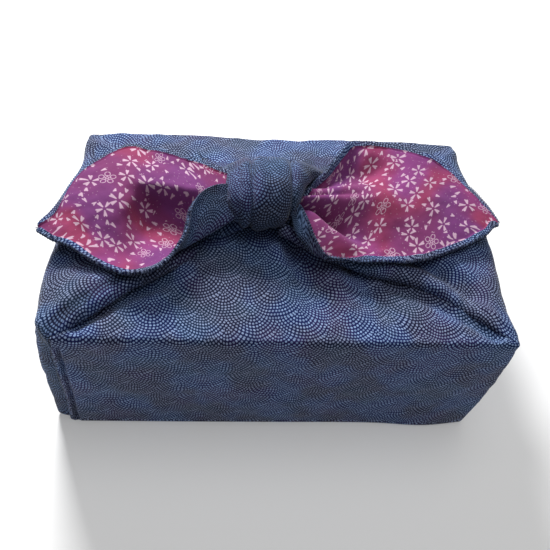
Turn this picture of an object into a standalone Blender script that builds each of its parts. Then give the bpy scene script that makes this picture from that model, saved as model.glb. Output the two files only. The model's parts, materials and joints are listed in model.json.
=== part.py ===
"""A furoshiki: one square of double-faced cotton folded round a boxy parcel and tied on top.

The whole cloth is one sheet, so it is one solid. Its base and four sides stand up from a flat
floor. The front and back of the roof are panels that run in under the knot, the two wings come
in from the sides over them with their borders turned down, and both wings gather into the knot.
The knot's two free ends lie over the wings as cupped leaves.

Metres, +Z up. The origin is on the floor under the middle of the tied cloth.
"""

import bmesh
import bpy
import numpy as np

CLOTH = 0.0016  # thickness of the two faces sewn together
BASE_ROUND = 0.004  # radius where the base turns up into the sides
ROOF_ROUND = 0.005  # radius where the sides turn in to the roof
CORNER_ROUND = 0.006  # radius of the upright corners, in plan
HEIGHT = 0.0906  # floor to the roof panels' outer edge
WING_STEP = 0.0034  # how much higher the wings leave the sides than the panels do
MIDDLE = np.array([-0.0035, 0.0005, 0.0])  # middle of the tied cloth, seen from the parcel's own middle

LONG_COLUMNS = 18  # straight stretches along the front and the back
SHORT_COLUMNS = 12  # straight stretches along the left and the right
WALL_ROWS = 6
ROOF_ROWS = 10
CORNER_ANGLES = np.radians([45.0, 20.0, 0.0])  # half an upright corner, from its middle
BASE_ANGLES = np.radians([0.0, 45.0, 90.0])  # from the base's outline up into a side
SHOULDER_ANGLES = np.radians([40.0, 90.0])  # from a side in to the roof

# Corners of the standing parcel, anticlockwise from the front left: at the floor and at the roof.
CORNERS = {
    "floor": ((-0.1190, -0.0755), (0.1190, -0.0762), (0.1170, 0.0763), (-0.1170, 0.0763)),
    "roof": ((-0.1175, -0.0763), (0.1208, -0.0766), (0.1185, 0.0785), (-0.1150, 0.0755)),
}
SIDES = ("front", "right", "back", "left")

# How each side swells: where along it (0 to 1, anticlockwise), then outwards at the floor,
# half way up and at the roof.
SWELL = {
    "front": (
        (0.0, 0.0, 0.0, 0.0),
        (0.5, 0.0010, 0.0016, 0.0006),
        (0.86, 0.0030, 0.0012, 0.0),
        (1.0, 0.0, 0.0, 0.0),
    ),
    "right": (
        (0.0, 0.0, 0.0, 0.0),
        (0.35, 0.0015, 0.0030, 0.0030),
        (0.75, 0.0010, 0.0030, 0.0035),
        (1.0, 0.0, 0.0, 0.0),
    ),
    "back": (
        (0.0, 0.0, 0.0, 0.0),
        (0.25, 0.0010, 0.0020, 0.0020),
        (0.55, 0.0010, 0.0010, -0.0010),
        (0.85, 0.0010, 0.0025, 0.0030),
        (1.0, 0.0, 0.0, 0.0),
    ),
    "left": (
        (0.0, 0.0, 0.0, 0.0),
        (0.30, 0.0020, 0.0055, 0.0045),
        (0.62, 0.0030, 0.0100, 0.0085),
        (0.85, 0.0030, 0.0105, 0.0100),
        (0.94, 0.0020, 0.0075, 0.0070),
        (1.0, 0.0, 0.0, 0.0),
    ),
}

# Where the roof panels end under the knot: their two corners in plan and the heights of their
# sides and of their middle.
PANEL_ENDS = {
    "front": {"from": (-0.0660, -0.0010), "to": (0.0520, -0.0010), "side": 0.0915, "middle": 0.0985},
    "back": {"from": (0.0520, 0.0090), "to": (-0.0660, 0.0090), "side": 0.0915, "middle": 0.0985},
}

# The top line of each wing's two turned-down borders, from the parcel's corner to the knot.
RIDGES = {
    "left_front": (
        (-0.1070, -0.0640, 0.0955),
        (-0.0950, -0.0535, 0.0970),
        (-0.0820, -0.0440, 0.0984),
        (-0.0660, -0.0365, 0.1000),
        (-0.0480, -0.0270, 0.1022),
        (-0.0220, -0.0120, 0.1070),
    ),
    "left_back": (
        (-0.1000, 0.0620, 0.0950),
        (-0.0830, 0.0480, 0.0968),
        (-0.0640, 0.0360, 0.0995),
        (-0.0460, 0.0250, 0.1025),
        (-0.0220, 0.0120, 0.1075),
    ),
    "right_front": (
        (0.1050, -0.0600, 0.0950),
        (0.0890, -0.0465, 0.0966),
        (0.0715, -0.0380, 0.0980),
        (0.0450, -0.0320, 0.1000),
        (0.0230, -0.0230, 0.1025),
        (-0.0030, -0.0120, 0.1070),
    ),
    "right_back": (
        (0.1000, 0.0630, 0.0950),
        (0.0800, 0.0480, 0.0968),
        (0.0540, 0.0350, 0.0992),
        (0.0250, 0.0240, 0.1025),
        (-0.0030, 0.0120, 0.1075),
    ),
}
LIP_ROUND = 0.0030  # radius of a turned-down border
LIP_DROP = 0.0010  # straight part below that
LIP_START = 0.6  # share of that size at the parcel's corner
LIP_GROWTH = 3.0  # how fast it reaches full size towards the knot
LIP_TURNS = np.radians([35.0, 80.0])
NECK_RISE = 0.0030  # how much the gathered end of a wing arches over its borders
NECK_FULLNESS = 0.8  # how full that arch is: 1 is a parabola, less is fuller

# Troughs (below zero) and ridges in the roof: start and end in plan, depth, half width.
PANEL_FOLDS = (
    ((0.0080, -0.0440), (0.0020, -0.0200), -0.0020, 0.0070),
    ((0.0500, -0.0560), (0.0260, -0.0300), -0.0022, 0.0080),
    ((-0.0020, -0.0420), (-0.0100, -0.0180), 0.0012, 0.0090),
    ((-0.0300, 0.0600), (-0.0180, 0.0200), 0.0014, 0.0100),
    ((0.0240, 0.0600), (0.0100, 0.0220), -0.0014, 0.0080),
)
WING_FOLDS = (
    ((0.0960, -0.0300), (0.0500, -0.0180), -0.0045, 0.0090),
    ((-0.1000, -0.0260), (-0.0560, -0.0120), -0.0025, 0.0100),
    ((-0.0950, 0.0330), (-0.0500, 0.0130), -0.0020, 0.0100),
    ((0.0980, 0.0350), (0.0450, 0.0150), -0.0020, 0.0100),
)

# The knot's band, a barrel lying left to right: middle, half sizes, and its pleats as places
# along it with their depths.
KNOT_MIDDLE = np.array([-0.0128, 0.0045, 0.1178])
KNOT_HALF = np.array([0.0200, 0.0225, 0.0150])
KNOT_PLEATS = ((-0.0070, 0.0012), (0.0010, 0.0022), (0.0125, 0.0020))
PLEAT_WIDTH = 0.0022
KNOT_ROUND = 0.45  # how square the barrel's ends are: 1 is a ball, 0 a can
KNOT_TURNS = 24
KNOT_RINGS = 14

# The free ends, cut across at x from the knot outwards. Each cut runs from its back edge over
# the floor of the cup and its belly to its front edge, each given as (y, z).
# x, back edge, floor, belly, front edge
TAIL_CUTS = {
    "left": (
        (-0.0220, (0.0100, 0.1220), (0.0040, 0.1165), (-0.0080, 0.1150), (-0.0040, 0.1220)),
        (-0.0360, (0.0170, 0.1210), (0.0050, 0.1150), (-0.0170, 0.1125), (-0.0010, 0.1230)),
        (-0.0500, (0.0270, 0.1185), (0.0060, 0.1120), (-0.0260, 0.1095), (-0.0100, 0.1200)),
        (-0.0620, (0.0340, 0.1160), (0.0040, 0.1085), (-0.0330, 0.1070), (-0.0400, 0.1110)),
        (-0.0760, (0.0400, 0.1135), (0.0020, 0.1060), (-0.0330, 0.1045), (-0.0465, 0.1060)),
        (-0.0900, (0.0425, 0.1110), (0.0000, 0.1035), (-0.0300, 0.1028), (-0.0430, 0.1040)),
        (-0.1040, (0.0345, 0.1080), (0.0000, 0.1010), (-0.0240, 0.1005), (-0.0340, 0.1025)),
        (-0.1170, (0.0230, 0.1050), (0.0000, 0.1000), (-0.0180, 0.0998), (-0.0265, 0.1010)),
        (-0.1310, (-0.0125, 0.1020), (-0.0145, 0.1010), (-0.0160, 0.1006), (-0.0180, 0.1010)),
    ),
    "right": (
        (-0.0030, (0.0060, 0.1220), (0.0010, 0.1175), (-0.0090, 0.1140), (-0.0040, 0.1220)),
        (0.0110, (0.0090, 0.1215), (0.0010, 0.1155), (-0.0230, 0.1100), (-0.0210, 0.1160)),
        (0.0260, (0.0260, 0.1205), (0.0020, 0.1130), (-0.0250, 0.1080), (-0.0320, 0.1100)),
        (0.0420, (0.0470, 0.1190), (0.0060, 0.1105), (-0.0240, 0.1062), (-0.0335, 0.1065)),
        (0.0580, (0.0510, 0.1160), (0.0080, 0.1078), (-0.0230, 0.1048), (-0.0335, 0.1045)),
        (0.0740, (0.0510, 0.1130), (0.0080, 0.1055), (-0.0200, 0.1030), (-0.0300, 0.1030)),
        (0.0900, (0.0475, 0.1105), (0.0080, 0.1032), (-0.0150, 0.1012), (-0.0235, 0.1020)),
        (0.1050, (0.0340, 0.1070), (0.0060, 0.1012), (-0.0080, 0.1000), (-0.0160, 0.1010)),
        (0.1170, (0.0210, 0.1045), (0.0050, 0.1004), (-0.0020, 0.1000), (-0.0080, 0.1006)),
        (0.1240, (0.0020, 0.1020), (0.0000, 0.1012), (-0.0015, 0.1010), (-0.0040, 0.1012)),
    ),
}
TAIL_STATIONS = 17
TAIL_COLUMNS = 12


def smooth_through(points, count):
    """`count` even steps along the smooth curve through the points on axis 0."""
    points = np.asarray(points, float)
    last = len(points) - 1
    place = np.linspace(0.0, last, count)
    start = np.minimum(place.astype(int), last - 1)
    f = (place - start).reshape((-1,) + (1,) * (points.ndim - 1))
    ends = np.concatenate([2 * points[:1] - points[1:2], points, 2 * points[-1:] - points[-2:-1]])
    a, b, c, d = (ends[start + step] for step in range(4))
    square, cube = 2 * a - 5 * b + 4 * c - d, 3 * b - a - 3 * c + d
    return 0.5 * (2 * b + (c - a) * f + square * f**2 + cube * f**3)


def blend_patch(first, last, left, right, across):
    """The surface between four border curves: rows from first to last, columns at `across`."""
    v = np.linspace(0.0, 1.0, len(left))[:, None, None]
    u = across[None, :, None]
    between_rows = (1 - v) * first[None] + v * last[None]
    between_columns = (1 - u) * left[:, None] + u * right[:, None]
    first_corners = (1 - u) * (1 - v) * first[0] + u * (1 - v) * first[-1]
    last_corners = (1 - u) * v * last[0] + u * v * last[-1]
    return between_rows + between_columns - first_corners - last_corners


def swell_at(side, across, height):
    """How far a side stands out of its straight line, at places across it and a height share."""
    table = np.array(SWELL[side])
    low, middle, high = (np.interp(across, table[:, 0], table[:, column]) for column in (1, 2, 3))
    rise = min(max(height, 0.0), 1.0)
    if rise < 0.5:
        return low + (middle - low) * rise * 2
    return middle + (high - middle) * (rise * 2 - 1)


def side_line(side, height, inset):
    """One level line of a side, with half of each upright corner: points in plan, and their shares."""
    number = SIDES.index(side)
    floor, roof = (np.array(CORNERS[level]) for level in ("floor", "roof"))
    corners = floor + (roof - floor) * height
    start, end = corners[number], corners[(number + 1) % 4]
    length = np.linalg.norm(end - start)
    along = (end - start) / length
    outwards = np.array([along[1], -along[0]])
    turn_along = CORNER_ROUND * (1 - np.sin(CORNER_ANGLES))
    turn_depth = CORNER_ROUND * (1 - np.cos(CORNER_ANGLES))
    count = LONG_COLUMNS if side in ("front", "back") else SHORT_COLUMNS
    straight = np.linspace(CORNER_ROUND, length - CORNER_ROUND, count + 1)[1:-1]
    places = np.concatenate([turn_along, straight, (length - turn_along)[::-1]])
    depths = np.concatenate([turn_depth, 0 * straight, turn_depth[::-1]])
    angles = np.concatenate([-CORNER_ANGLES, 0 * straight, CORNER_ANGLES[::-1]])
    facing = np.cos(angles)[:, None] * outwards + np.sin(angles)[:, None] * along
    out = swell_at(side, places / length, height) - depths
    line = start + places[:, None] * along + out[:, None] * outwards - inset * facing
    return line, places / length


def level(side, z, inset):
    """The side's level line at height z, as points in space."""
    line, _ = side_line(side, z / HEIGHT, inset)
    return np.column_stack([line, np.full(len(line), z)])


def wall_grid(side):
    """Rows from the base's outline up to the shoulder, where the roof's edge starts to turn in."""
    rows = []
    for a in BASE_ANGLES:
        rows.append(level(side, BASE_ROUND * (1 - np.cos(a)), BASE_ROUND * (1 - np.sin(a))))
    for z in np.linspace(BASE_ROUND, HEIGHT - ROOF_ROUND, WALL_ROWS)[1:]:
        rows.append(level(side, z, 0.0))
    return np.array(rows)


def shoulder_rows(side, top):
    """The rows that turn in from the shoulder to the roof's edge at height `top`."""
    rows = []
    for a in SHOULDER_ANGLES:
        line, _ = side_line(side, 1.0, ROOF_ROUND * (1 - np.cos(a)))
        z = top - ROOF_ROUND * (1 - np.sin(a))
        rows.append(np.column_stack([line, np.full(len(line), z)]))
    return rows


def fold_in(points, folds):
    """Presses the troughs and raises the ridges of a table into a patch of the roof."""
    for start, end, depth, width in folds:
        start, end = np.array(start), np.array(end)
        run = end - start
        share = np.clip(((points[..., :2] - start) @ run) / (run @ run), 0.0, 1.0)
        away = np.linalg.norm(points[..., :2] - start - share[..., None] * run, axis=-1)
        points[..., 2] += depth * np.exp(-((away / width) ** 2))
    return points


def panel_grid(side):
    """The front or back of the roof, from its edge to where it ends under the knot."""
    rows = shoulder_rows(side, HEIGHT)
    _, across = side_line(side, 1.0, 0.0)
    end = PANEL_ENDS[side]
    plan = np.array(end["from"]) + across[:, None] * (np.array(end["to"]) - np.array(end["from"]))
    heights = end["side"] + (end["middle"] - end["side"]) * (1 - (2 * across - 1) ** 2)
    last = np.column_stack([plan, heights])
    steps = np.linspace(0.0, 1.0, ROOF_ROWS)[:, None]
    first = rows[-1]
    left, right = (first[c] + steps * (last[c] - first[c]) for c in (0, -1))
    roof = blend_patch(first, last, left, right, across)
    return np.concatenate([rows[:-1], fold_in(roof, PANEL_FOLDS)])


def lip(grid, first_row, edge, beside):
    """The turned-down border of a wing, beyond its edge column."""
    ridge = grid[first_row:, edge]
    away = ridge - grid[first_row:, beside]
    away[:, 2] = 0.0
    away /= np.linalg.norm(away, axis=1)[:, None]
    down = np.array([0.0, 0.0, -1.0])
    size = np.minimum(1.0, LIP_START + LIP_GROWTH * np.linspace(0.0, 1.0, len(ridge)))[:, None]
    columns = []
    for a in LIP_TURNS:
        columns.append(ridge + LIP_ROUND * size * (np.sin(a) * away + (1 - np.cos(a)) * down))
    columns.append(columns[-1] + LIP_DROP * size * down)
    return np.stack(columns, axis=1)


def wing_grid(side):
    """A wing, from the edge of the roof to the knot that gathers it, without its borders."""
    rows = shoulder_rows(side, HEIGHT + WING_STEP)
    _, across = side_line(side, 1.0, 0.0)
    first = rows[-1]
    names = ("right_front", "right_back") if side == "right" else ("left_back", "left_front")
    left = smooth_through(np.vstack([first[:1], RIDGES[names[0]]]), ROOF_ROWS)
    right = smooth_through(np.vstack([first[-1:], RIDGES[names[1]]]), ROOF_ROWS)
    last = left[-1] + across[:, None] * (right[-1] - left[-1])
    last[:, 2] += NECK_RISE * (1 - (2 * across - 1) ** 2) ** NECK_FULLNESS
    roof = blend_patch(first, last, left, right, across)
    return np.concatenate([rows[:-1], fold_in(roof, WING_FOLDS)])


class SheetMesh:
    """Collects grids of points into one mesh whose shared points are listed once."""

    def __init__(self):
        self.points = []
        self.faces = []
        self.known = {}

    def add(self, point):
        key = tuple(np.round(np.asarray(point) * 1e6).astype(int))
        if key not in self.known:
            self.known[key] = len(self.points)
            self.points.append(tuple(map(float, point)))
        return self.known[key]

    def add_grid(self, grid):
        numbers = np.array([[self.add(point) for point in row] for row in grid])
        for low, high in zip(numbers[:-1], numbers[1:]):
            for c in range(len(low) - 1):
                self.faces.append((low[c], low[c + 1], high[c + 1], high[c]))
        return numbers

    def make(self, name):
        mesh = bpy.data.meshes.new(name)
        mesh.from_pydata(self.points, [], self.faces)
        mesh.validate()
        obj = bpy.data.objects.new(name, mesh)
        bpy.context.collection.objects.link(obj)
        return obj


def make_wrapped_sheet():
    """The base, the sides, the roof panels and the wings: an open sheet, given its thickness."""
    walls = {side: wall_grid(side) for side in SIDES}
    for number, side in enumerate(SIDES):
        after = SIDES[(number + 1) % 4]
        shared = 0.5 * (walls[side][:, -1] + walls[after][:, 0])
        walls[side][:, -1] = walls[after][:, 0] = shared
    sheet = SheetMesh()
    base = []
    for side in SIDES:
        base += list(sheet.add_grid(walls[side])[0][:-1])
    sheet.faces.append(tuple(reversed(base)))
    for side in SIDES:
        roof = panel_grid(side) if side in PANEL_ENDS else wing_grid(side)
        sheet.add_grid(np.concatenate([walls[side][-1:], roof]))
        if side not in PANEL_ENDS:
            ahead = lip(roof, 1, -1, -3)
            behind = lip(roof, 1, 0, 2)
            sheet.add_grid(np.concatenate([roof[1:, -1:], ahead], axis=1))
            sheet.add_grid(np.concatenate([behind[:, ::-1], roof[1:, :1]], axis=1))
    obj = sheet.make("furoshiki_cloth")
    thicken(obj, -1.0)
    return obj


def thicken(obj, offset):
    """Gives a sheet the cloth's thickness."""
    solid = obj.modifiers.new("cloth", "SOLIDIFY")
    solid.thickness = CLOTH
    solid.offset = offset
    solid.use_even_offset = False


def make_knot():
    """The band that wraps the two twisted ends, with its pleats."""
    sweep = np.linspace(0.0, np.pi, KNOT_RINGS + 1)[1:-1]
    rings = []
    for a in sweep:
        x = -np.cos(a) * KNOT_HALF[0]
        fullness = np.sin(a) ** KNOT_ROUND
        pleat = 0.0
        for place, depth in KNOT_PLEATS:
            pleat += depth * np.exp(-(((x - place) / PLEAT_WIDTH) ** 2))
        turn = np.linspace(0.0, 2 * np.pi, KNOT_TURNS, endpoint=False)
        y = (KNOT_HALF[1] * fullness - pleat) * np.cos(turn)
        z = (KNOT_HALF[2] * fullness - pleat) * np.sin(turn)
        rings.append(np.column_stack([np.full(KNOT_TURNS, x), y, z]) + KNOT_MIDDLE)
    band = SheetMesh()
    band.add_grid([np.vstack([ring, ring[:1]])[::-1] for ring in rings])
    for ring, place in ((rings[0][::-1], -1), (rings[-1], 1)):
        pole = band.add(KNOT_MIDDLE + np.array([place * KNOT_HALF[0], 0.0, 0.0]))
        numbers = [band.add(point) for point in ring]
        for k, number in enumerate(numbers):
            band.faces.append((pole, numbers[(k + 1) % KNOT_TURNS], number))
    return band.make("knot_band")


def make_tail(side):
    """A free end of the cloth: a cupped leaf, given its thickness."""
    cuts = []
    for x, *corners in TAIL_CUTS[side]:
        cuts.append(smooth_through([(x, *corner) for corner in corners], TAIL_COLUMNS))
    leaf = smooth_through(cuts, TAIL_STATIONS)
    if side == "left":
        leaf = leaf[:, ::-1]
    sheet = SheetMesh()
    sheet.add_grid(leaf[:, ::-1])
    obj = sheet.make(f"{side}_tail")
    thicken(obj, 0.0)
    return obj


def cloth_material():
    """Navy cotton, matt."""
    material = bpy.data.materials.new("dotted_cotton")
    material.use_nodes = True
    shader = material.node_tree.nodes["Principled BSDF"]
    shader.inputs["Base Color"].default_value = (0.045, 0.075, 0.190, 1.0)
    shader.inputs["Roughness"].default_value = 0.85
    shader.inputs["Metallic"].default_value = 0.0
    return material


def face_outwards(obj):
    """Turns every face of a closed shape outwards."""
    shape = bmesh.new()
    shape.from_mesh(obj.data)
    bmesh.ops.recalc_face_normals(shape, faces=shape.faces)
    shape.to_mesh(obj.data)
    shape.free()


def main():
    for obj in list(bpy.data.objects):
        bpy.data.objects.remove(obj)
    cloth = make_wrapped_sheet()
    knot = make_knot()
    face_outwards(knot)
    for piece in (knot, make_tail("left"), make_tail("right")):
        piece.hide_render = True
        piece.display_type = "WIRE"
        joined = cloth.modifiers.new(piece.name, "BOOLEAN")
        joined.operation = "UNION"
        joined.solver = "EXACT"
        joined.use_self = True
        joined.object = piece
    for piece in bpy.data.objects:
        piece.location = -MIDDLE
        piece.data.shade_smooth()
    cloth.data.materials.append(cloth_material())


main()
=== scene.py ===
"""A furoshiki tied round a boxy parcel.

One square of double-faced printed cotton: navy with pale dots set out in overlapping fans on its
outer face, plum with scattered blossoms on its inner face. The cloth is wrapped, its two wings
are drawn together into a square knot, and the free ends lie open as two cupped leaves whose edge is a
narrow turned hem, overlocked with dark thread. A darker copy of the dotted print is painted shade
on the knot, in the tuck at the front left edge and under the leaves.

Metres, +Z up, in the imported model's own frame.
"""

from __future__ import annotations

import json
import logging
import math
from dataclasses import dataclass, field
from enum import Enum

import bpy
import numpy as np
from mathutils import Matrix, Vector, noise

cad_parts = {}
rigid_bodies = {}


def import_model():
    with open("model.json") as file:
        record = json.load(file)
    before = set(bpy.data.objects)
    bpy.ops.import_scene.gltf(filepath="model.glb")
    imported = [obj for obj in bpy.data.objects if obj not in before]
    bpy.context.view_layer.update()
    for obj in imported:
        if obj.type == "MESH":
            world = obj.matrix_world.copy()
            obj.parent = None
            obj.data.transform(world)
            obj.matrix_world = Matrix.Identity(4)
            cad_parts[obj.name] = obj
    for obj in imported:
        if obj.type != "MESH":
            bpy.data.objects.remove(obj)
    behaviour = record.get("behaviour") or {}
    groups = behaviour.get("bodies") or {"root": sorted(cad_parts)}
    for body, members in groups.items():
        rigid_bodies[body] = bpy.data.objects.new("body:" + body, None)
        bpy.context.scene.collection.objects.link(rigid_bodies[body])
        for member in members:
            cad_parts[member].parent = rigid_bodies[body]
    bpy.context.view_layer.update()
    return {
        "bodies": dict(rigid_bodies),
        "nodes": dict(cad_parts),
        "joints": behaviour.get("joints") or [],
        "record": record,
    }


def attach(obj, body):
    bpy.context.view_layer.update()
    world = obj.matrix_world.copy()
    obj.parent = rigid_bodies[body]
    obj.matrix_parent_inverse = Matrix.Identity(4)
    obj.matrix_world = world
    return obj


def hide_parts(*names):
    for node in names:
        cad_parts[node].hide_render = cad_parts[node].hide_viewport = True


LOG = logging.getLogger("furoshiki")

CLOTH_NODE = "furoshiki_cloth"
ROOT = "root"
MIDDLE = np.array([-0.0035, 0.0005, 0.0])  # middle of the tied cloth, seen from the parcel's own middle
MM = 0.001
HEIGHT = 0.0906  # floor to the outer edge of the roof panels
TO_FRAME = Matrix.Translation(Vector(-MIDDLE))  # from the parcel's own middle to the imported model's
CLOTH_MAP = "cloth"  # map of flat-cloth places, in metres
TURN = 2 * math.pi
QUARTER = np.radians([0.0, 22.5, 45.0, 67.5, 90.0])  # the steps of a rounded edge


# ---------------------------------------------------------------------------------------------
# Curves and patches
# ---------------------------------------------------------------------------------------------


def smooth_through(points: np.ndarray, count: int) -> np.ndarray:
    """Reads a smooth curve through points at even steps.

    Args:
        points: The points, along axis 0.
        count: How many steps to read.

    Returns:
        The points read, along axis 0.
    """
    return smooth_at(points, np.linspace(0.0, len(points) - 1, count))


def smooth_at(points: np.ndarray, places: np.ndarray) -> np.ndarray:
    """Reads a smooth curve through points at given places.

    Args:
        points: The points, along axis 0.
        places: Where to read, counted in points from 0.

    Returns:
        The points read, along axis 0.
    """
    points = np.asarray(points, float)
    last = len(points) - 1
    start = np.clip(places.astype(int), 0, last - 1)
    f = (places - start).reshape((-1,) + (1,) * (points.ndim - 1))
    padded = np.concatenate([2 * points[:1] - points[1:2], points, 2 * points[-1:] - points[-2:-1]])
    a, b, c, d = (padded[start + step] for step in range(4))
    return 0.5 * (2 * b + (c - a) * f + (2 * a - 5 * b + 4 * c - d) * f**2 + (3 * b - a - 3 * c + d) * f**3)


def smooth_table(places: np.ndarray, stops: np.ndarray, values: np.ndarray) -> np.ndarray:
    """Reads a table with uneven stops along a smooth curve.

    Args:
        places: Where to read.
        stops: The table's places, rising.
        values: The table's values at those places.

    Returns:
        The values read.
    """
    slopes = np.gradient(values, stops)
    k = np.clip(np.searchsorted(stops, places, side="right") - 1, 0, len(stops) - 2)
    span = stops[k + 1] - stops[k]
    f = np.clip((places - stops[k]) / span, 0.0, 1.0)
    return (
        (2 * f**3 - 3 * f**2 + 1) * values[k]
        + (f**3 - 2 * f**2 + f) * span * slopes[k]
        + (3 * f**2 - 2 * f**3) * values[k + 1]
        + (f**3 - f**2) * span * slopes[k + 1]
    )


def ease(value: np.ndarray | float) -> np.ndarray | float:
    """Goes smoothly from 0 to 1 as the value does."""
    value = np.clip(value, 0.0, 1.0)
    return value * value * (3 - 2 * value)


def blend_patch(
    first: np.ndarray, last: np.ndarray, left: np.ndarray, right: np.ndarray, across: np.ndarray
) -> np.ndarray:
    """Fills the surface between four border curves.

    Args:
        first: Border at row 0.
        last: Border at the last row.
        left: Border at column 0, one point a row.
        right: Border at the last column, one point a row.
        across: Share of the way across of each column.

    Returns:
        The surface's points, as rows of columns.
    """
    v = np.linspace(0.0, 1.0, len(left))[:, None, None]
    u = across[None, :, None]
    between_rows = (1 - v) * first[None] + v * last[None]
    between_columns = (1 - u) * left[:, None] + u * right[:, None]
    corners = (1 - v) * ((1 - u) * first[0] + u * first[-1]) + v * ((1 - u) * last[0] + u * last[-1])
    return between_rows + between_columns - corners


def crowd_ends(count: int, pull: float) -> np.ndarray:
    """Shares from 0 to 1 in so many steps, closer together near both ends as `pull` goes from 0 to 1."""
    share = np.linspace(0.0, 1.0, count + 1)
    return share - pull * np.sin(TURN * share) / TURN


def lengths_along(points: np.ndarray) -> np.ndarray:
    """Distance along a polyline at each of its points, from 0."""
    steps = np.linalg.norm(np.diff(points, axis=0), axis=-1)
    return np.concatenate([np.zeros_like(steps[:1]), np.cumsum(steps, axis=0)])


def grid_normals(grid: np.ndarray) -> np.ndarray:
    """Unit normals of a grid of points, on the side from which rows run up and columns to the right."""
    normal = np.cross(np.gradient(grid, axis=1), np.gradient(grid, axis=0))
    return normal / np.maximum(np.linalg.norm(normal, axis=-1, keepdims=True), 1e-12)


@dataclass(frozen=True)
class Fold:
    """A trough (depth below zero) or a ridge pressed into the cloth along a line in plan.

    Along the line, its depth falls by the share `fade` and its width grows by the share `spread`.
    A crisp fold has a crease at its middle; the others are round.
    """

    line: tuple[tuple[float, float], ...]
    depth: float
    width: float
    fade: float = 0.0
    spread: float = 0.0
    crisp: bool = False

    def press(self, points: np.ndarray) -> None:
        """Moves points up or down by this fold.

        Args:
            points: Points in space, changed in place.
        """
        corners = np.array(self.line)
        lengths = lengths_along(corners)
        nearest = np.full(points.shape[:-1], np.inf)
        share = np.zeros(points.shape[:-1])
        for start, end, before in zip(corners, corners[1:], lengths):
            run = end - start
            part = np.clip(((points[..., :2] - start) @ run) / (run @ run), 0.0, 1.0)
            away = np.linalg.norm(points[..., :2] - start - part[..., None] * run, axis=-1)
            share = np.where(away < nearest, (before + part * np.linalg.norm(run)) / lengths[-1], share)
            nearest = np.minimum(nearest, away)
        reach = nearest / (self.width * (1 + self.spread * share))
        shape = np.exp(0.25 - np.sqrt(reach**2 + 0.0625)) if self.crisp else np.exp(-(reach**2))
        points[..., 2] += self.depth * (1 - self.fade * share) * shape


class SheetBuilder:
    """Sews grids of points into one mesh with its map of flat-cloth places."""

    def __init__(self) -> None:
        """Starts with no cloth."""
        self.points: list[tuple[float, float, float]] = []
        self.faces: list[tuple[int, ...]] = []
        self.places: list[tuple[float, float]] = []
        self.sides: list[int] = []
        self.known: dict[tuple[int, int, int], int] = {}

    def point(self, place: np.ndarray) -> int:
        """Lists a point once, and gives its number."""
        key = tuple(np.round(place * 1e8).astype(int))
        if key not in self.known:
            self.known[key] = len(self.points)
            self.points.append(tuple(map(float, place)))
        return self.known[key]

    def add_grid(self, grid: np.ndarray, flat: np.ndarray, sides: tuple[int, ...] = ()) -> np.ndarray:
        """Adds a grid of points as four-sided faces.

        Args:
            grid: Points, as rows of columns, seen with rows running up and columns to the right.
            flat: Place of each point on the flat cloth.
            sides: Number of the material between each two columns, or nothing for the first material.

        Returns:
            The points' numbers, as rows of columns.
        """
        numbers = np.array([[self.point(place) for place in row] for row in grid])
        for r in range(len(grid) - 1):
            for c in range(len(grid[0]) - 1):
                corners = ((r, c), (r, c + 1), (r + 1, c + 1), (r + 1, c))
                ids = [int(numbers[k]) for k in corners]
                if len(set(ids)) < 4:
                    continue
                self.faces.append(tuple(ids))
                self.places += [tuple(flat[k]) for k in corners]
                self.sides.append(sides[c] if len(sides) else 0)
        return numbers

    def add_face(self, numbers: list[int], flat: list[tuple[float, float]], side: int = 0) -> None:
        """Adds one face of any number of corners, with their places on the flat cloth."""
        self.faces.append(tuple(numbers))
        self.places += flat
        self.sides.append(side)

    def make(self, name: str, materials: list[bpy.types.Material]) -> bpy.types.Object:
        """Makes the object.

        Args:
            name: Name of the object.
            materials: Its materials, in order of side number.

        Returns:
            The object, at the origin and shaded smooth.
        """
        mesh = bpy.data.meshes.new(name)
        mesh.from_pydata(self.points, [], self.faces)
        layer = mesh.uv_layers.new(name=CLOTH_MAP)
        layer.data.foreach_set("uv", np.array(self.places, np.float32).ravel())
        mesh.polygons.foreach_set("material_index", np.array(self.sides, np.int32))
        mesh.shade_smooth()
        for material in materials:
            mesh.materials.append(material)
        obj = bpy.data.objects.new(name, mesh)
        bpy.context.scene.collection.objects.link(obj)
        return obj


def apply_modifiers(obj: bpy.types.Object) -> None:
    """Turns an object's modifiers into plain mesh."""
    bpy.context.view_layer.update()
    graph = bpy.context.evaluated_depsgraph_get()
    shown = obj.evaluated_get(graph)
    mesh = bpy.data.meshes.new_from_object(shown, preserve_all_data_layers=True, depsgraph=graph)
    old = obj.data
    obj.modifiers.clear()
    obj.data = mesh
    mesh.name = obj.name
    bpy.data.meshes.remove(old)


def thicken(obj: bpy.types.Object, thickness: float, inner_side: int) -> None:
    """Gives a sheet its thickness, inwards from its faces.

    Args:
        obj: The sheet.
        thickness: How thick.
        inner_side: How many materials on the inner face's is from the outer face's.
    """
    solid = obj.modifiers.new("thickness", "SOLIDIFY")
    solid.thickness = thickness
    solid.offset = -1.0
    solid.use_even_offset = False
    solid.material_offset = inner_side
    solid.material_offset_rim = 0
    apply_modifiers(obj)


SMOOTHING_ROUNDS = 14  # of the directions in which a cloth wavers
FULL_WAVER = 0.012  # height over the still part at which the waver is full


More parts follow.
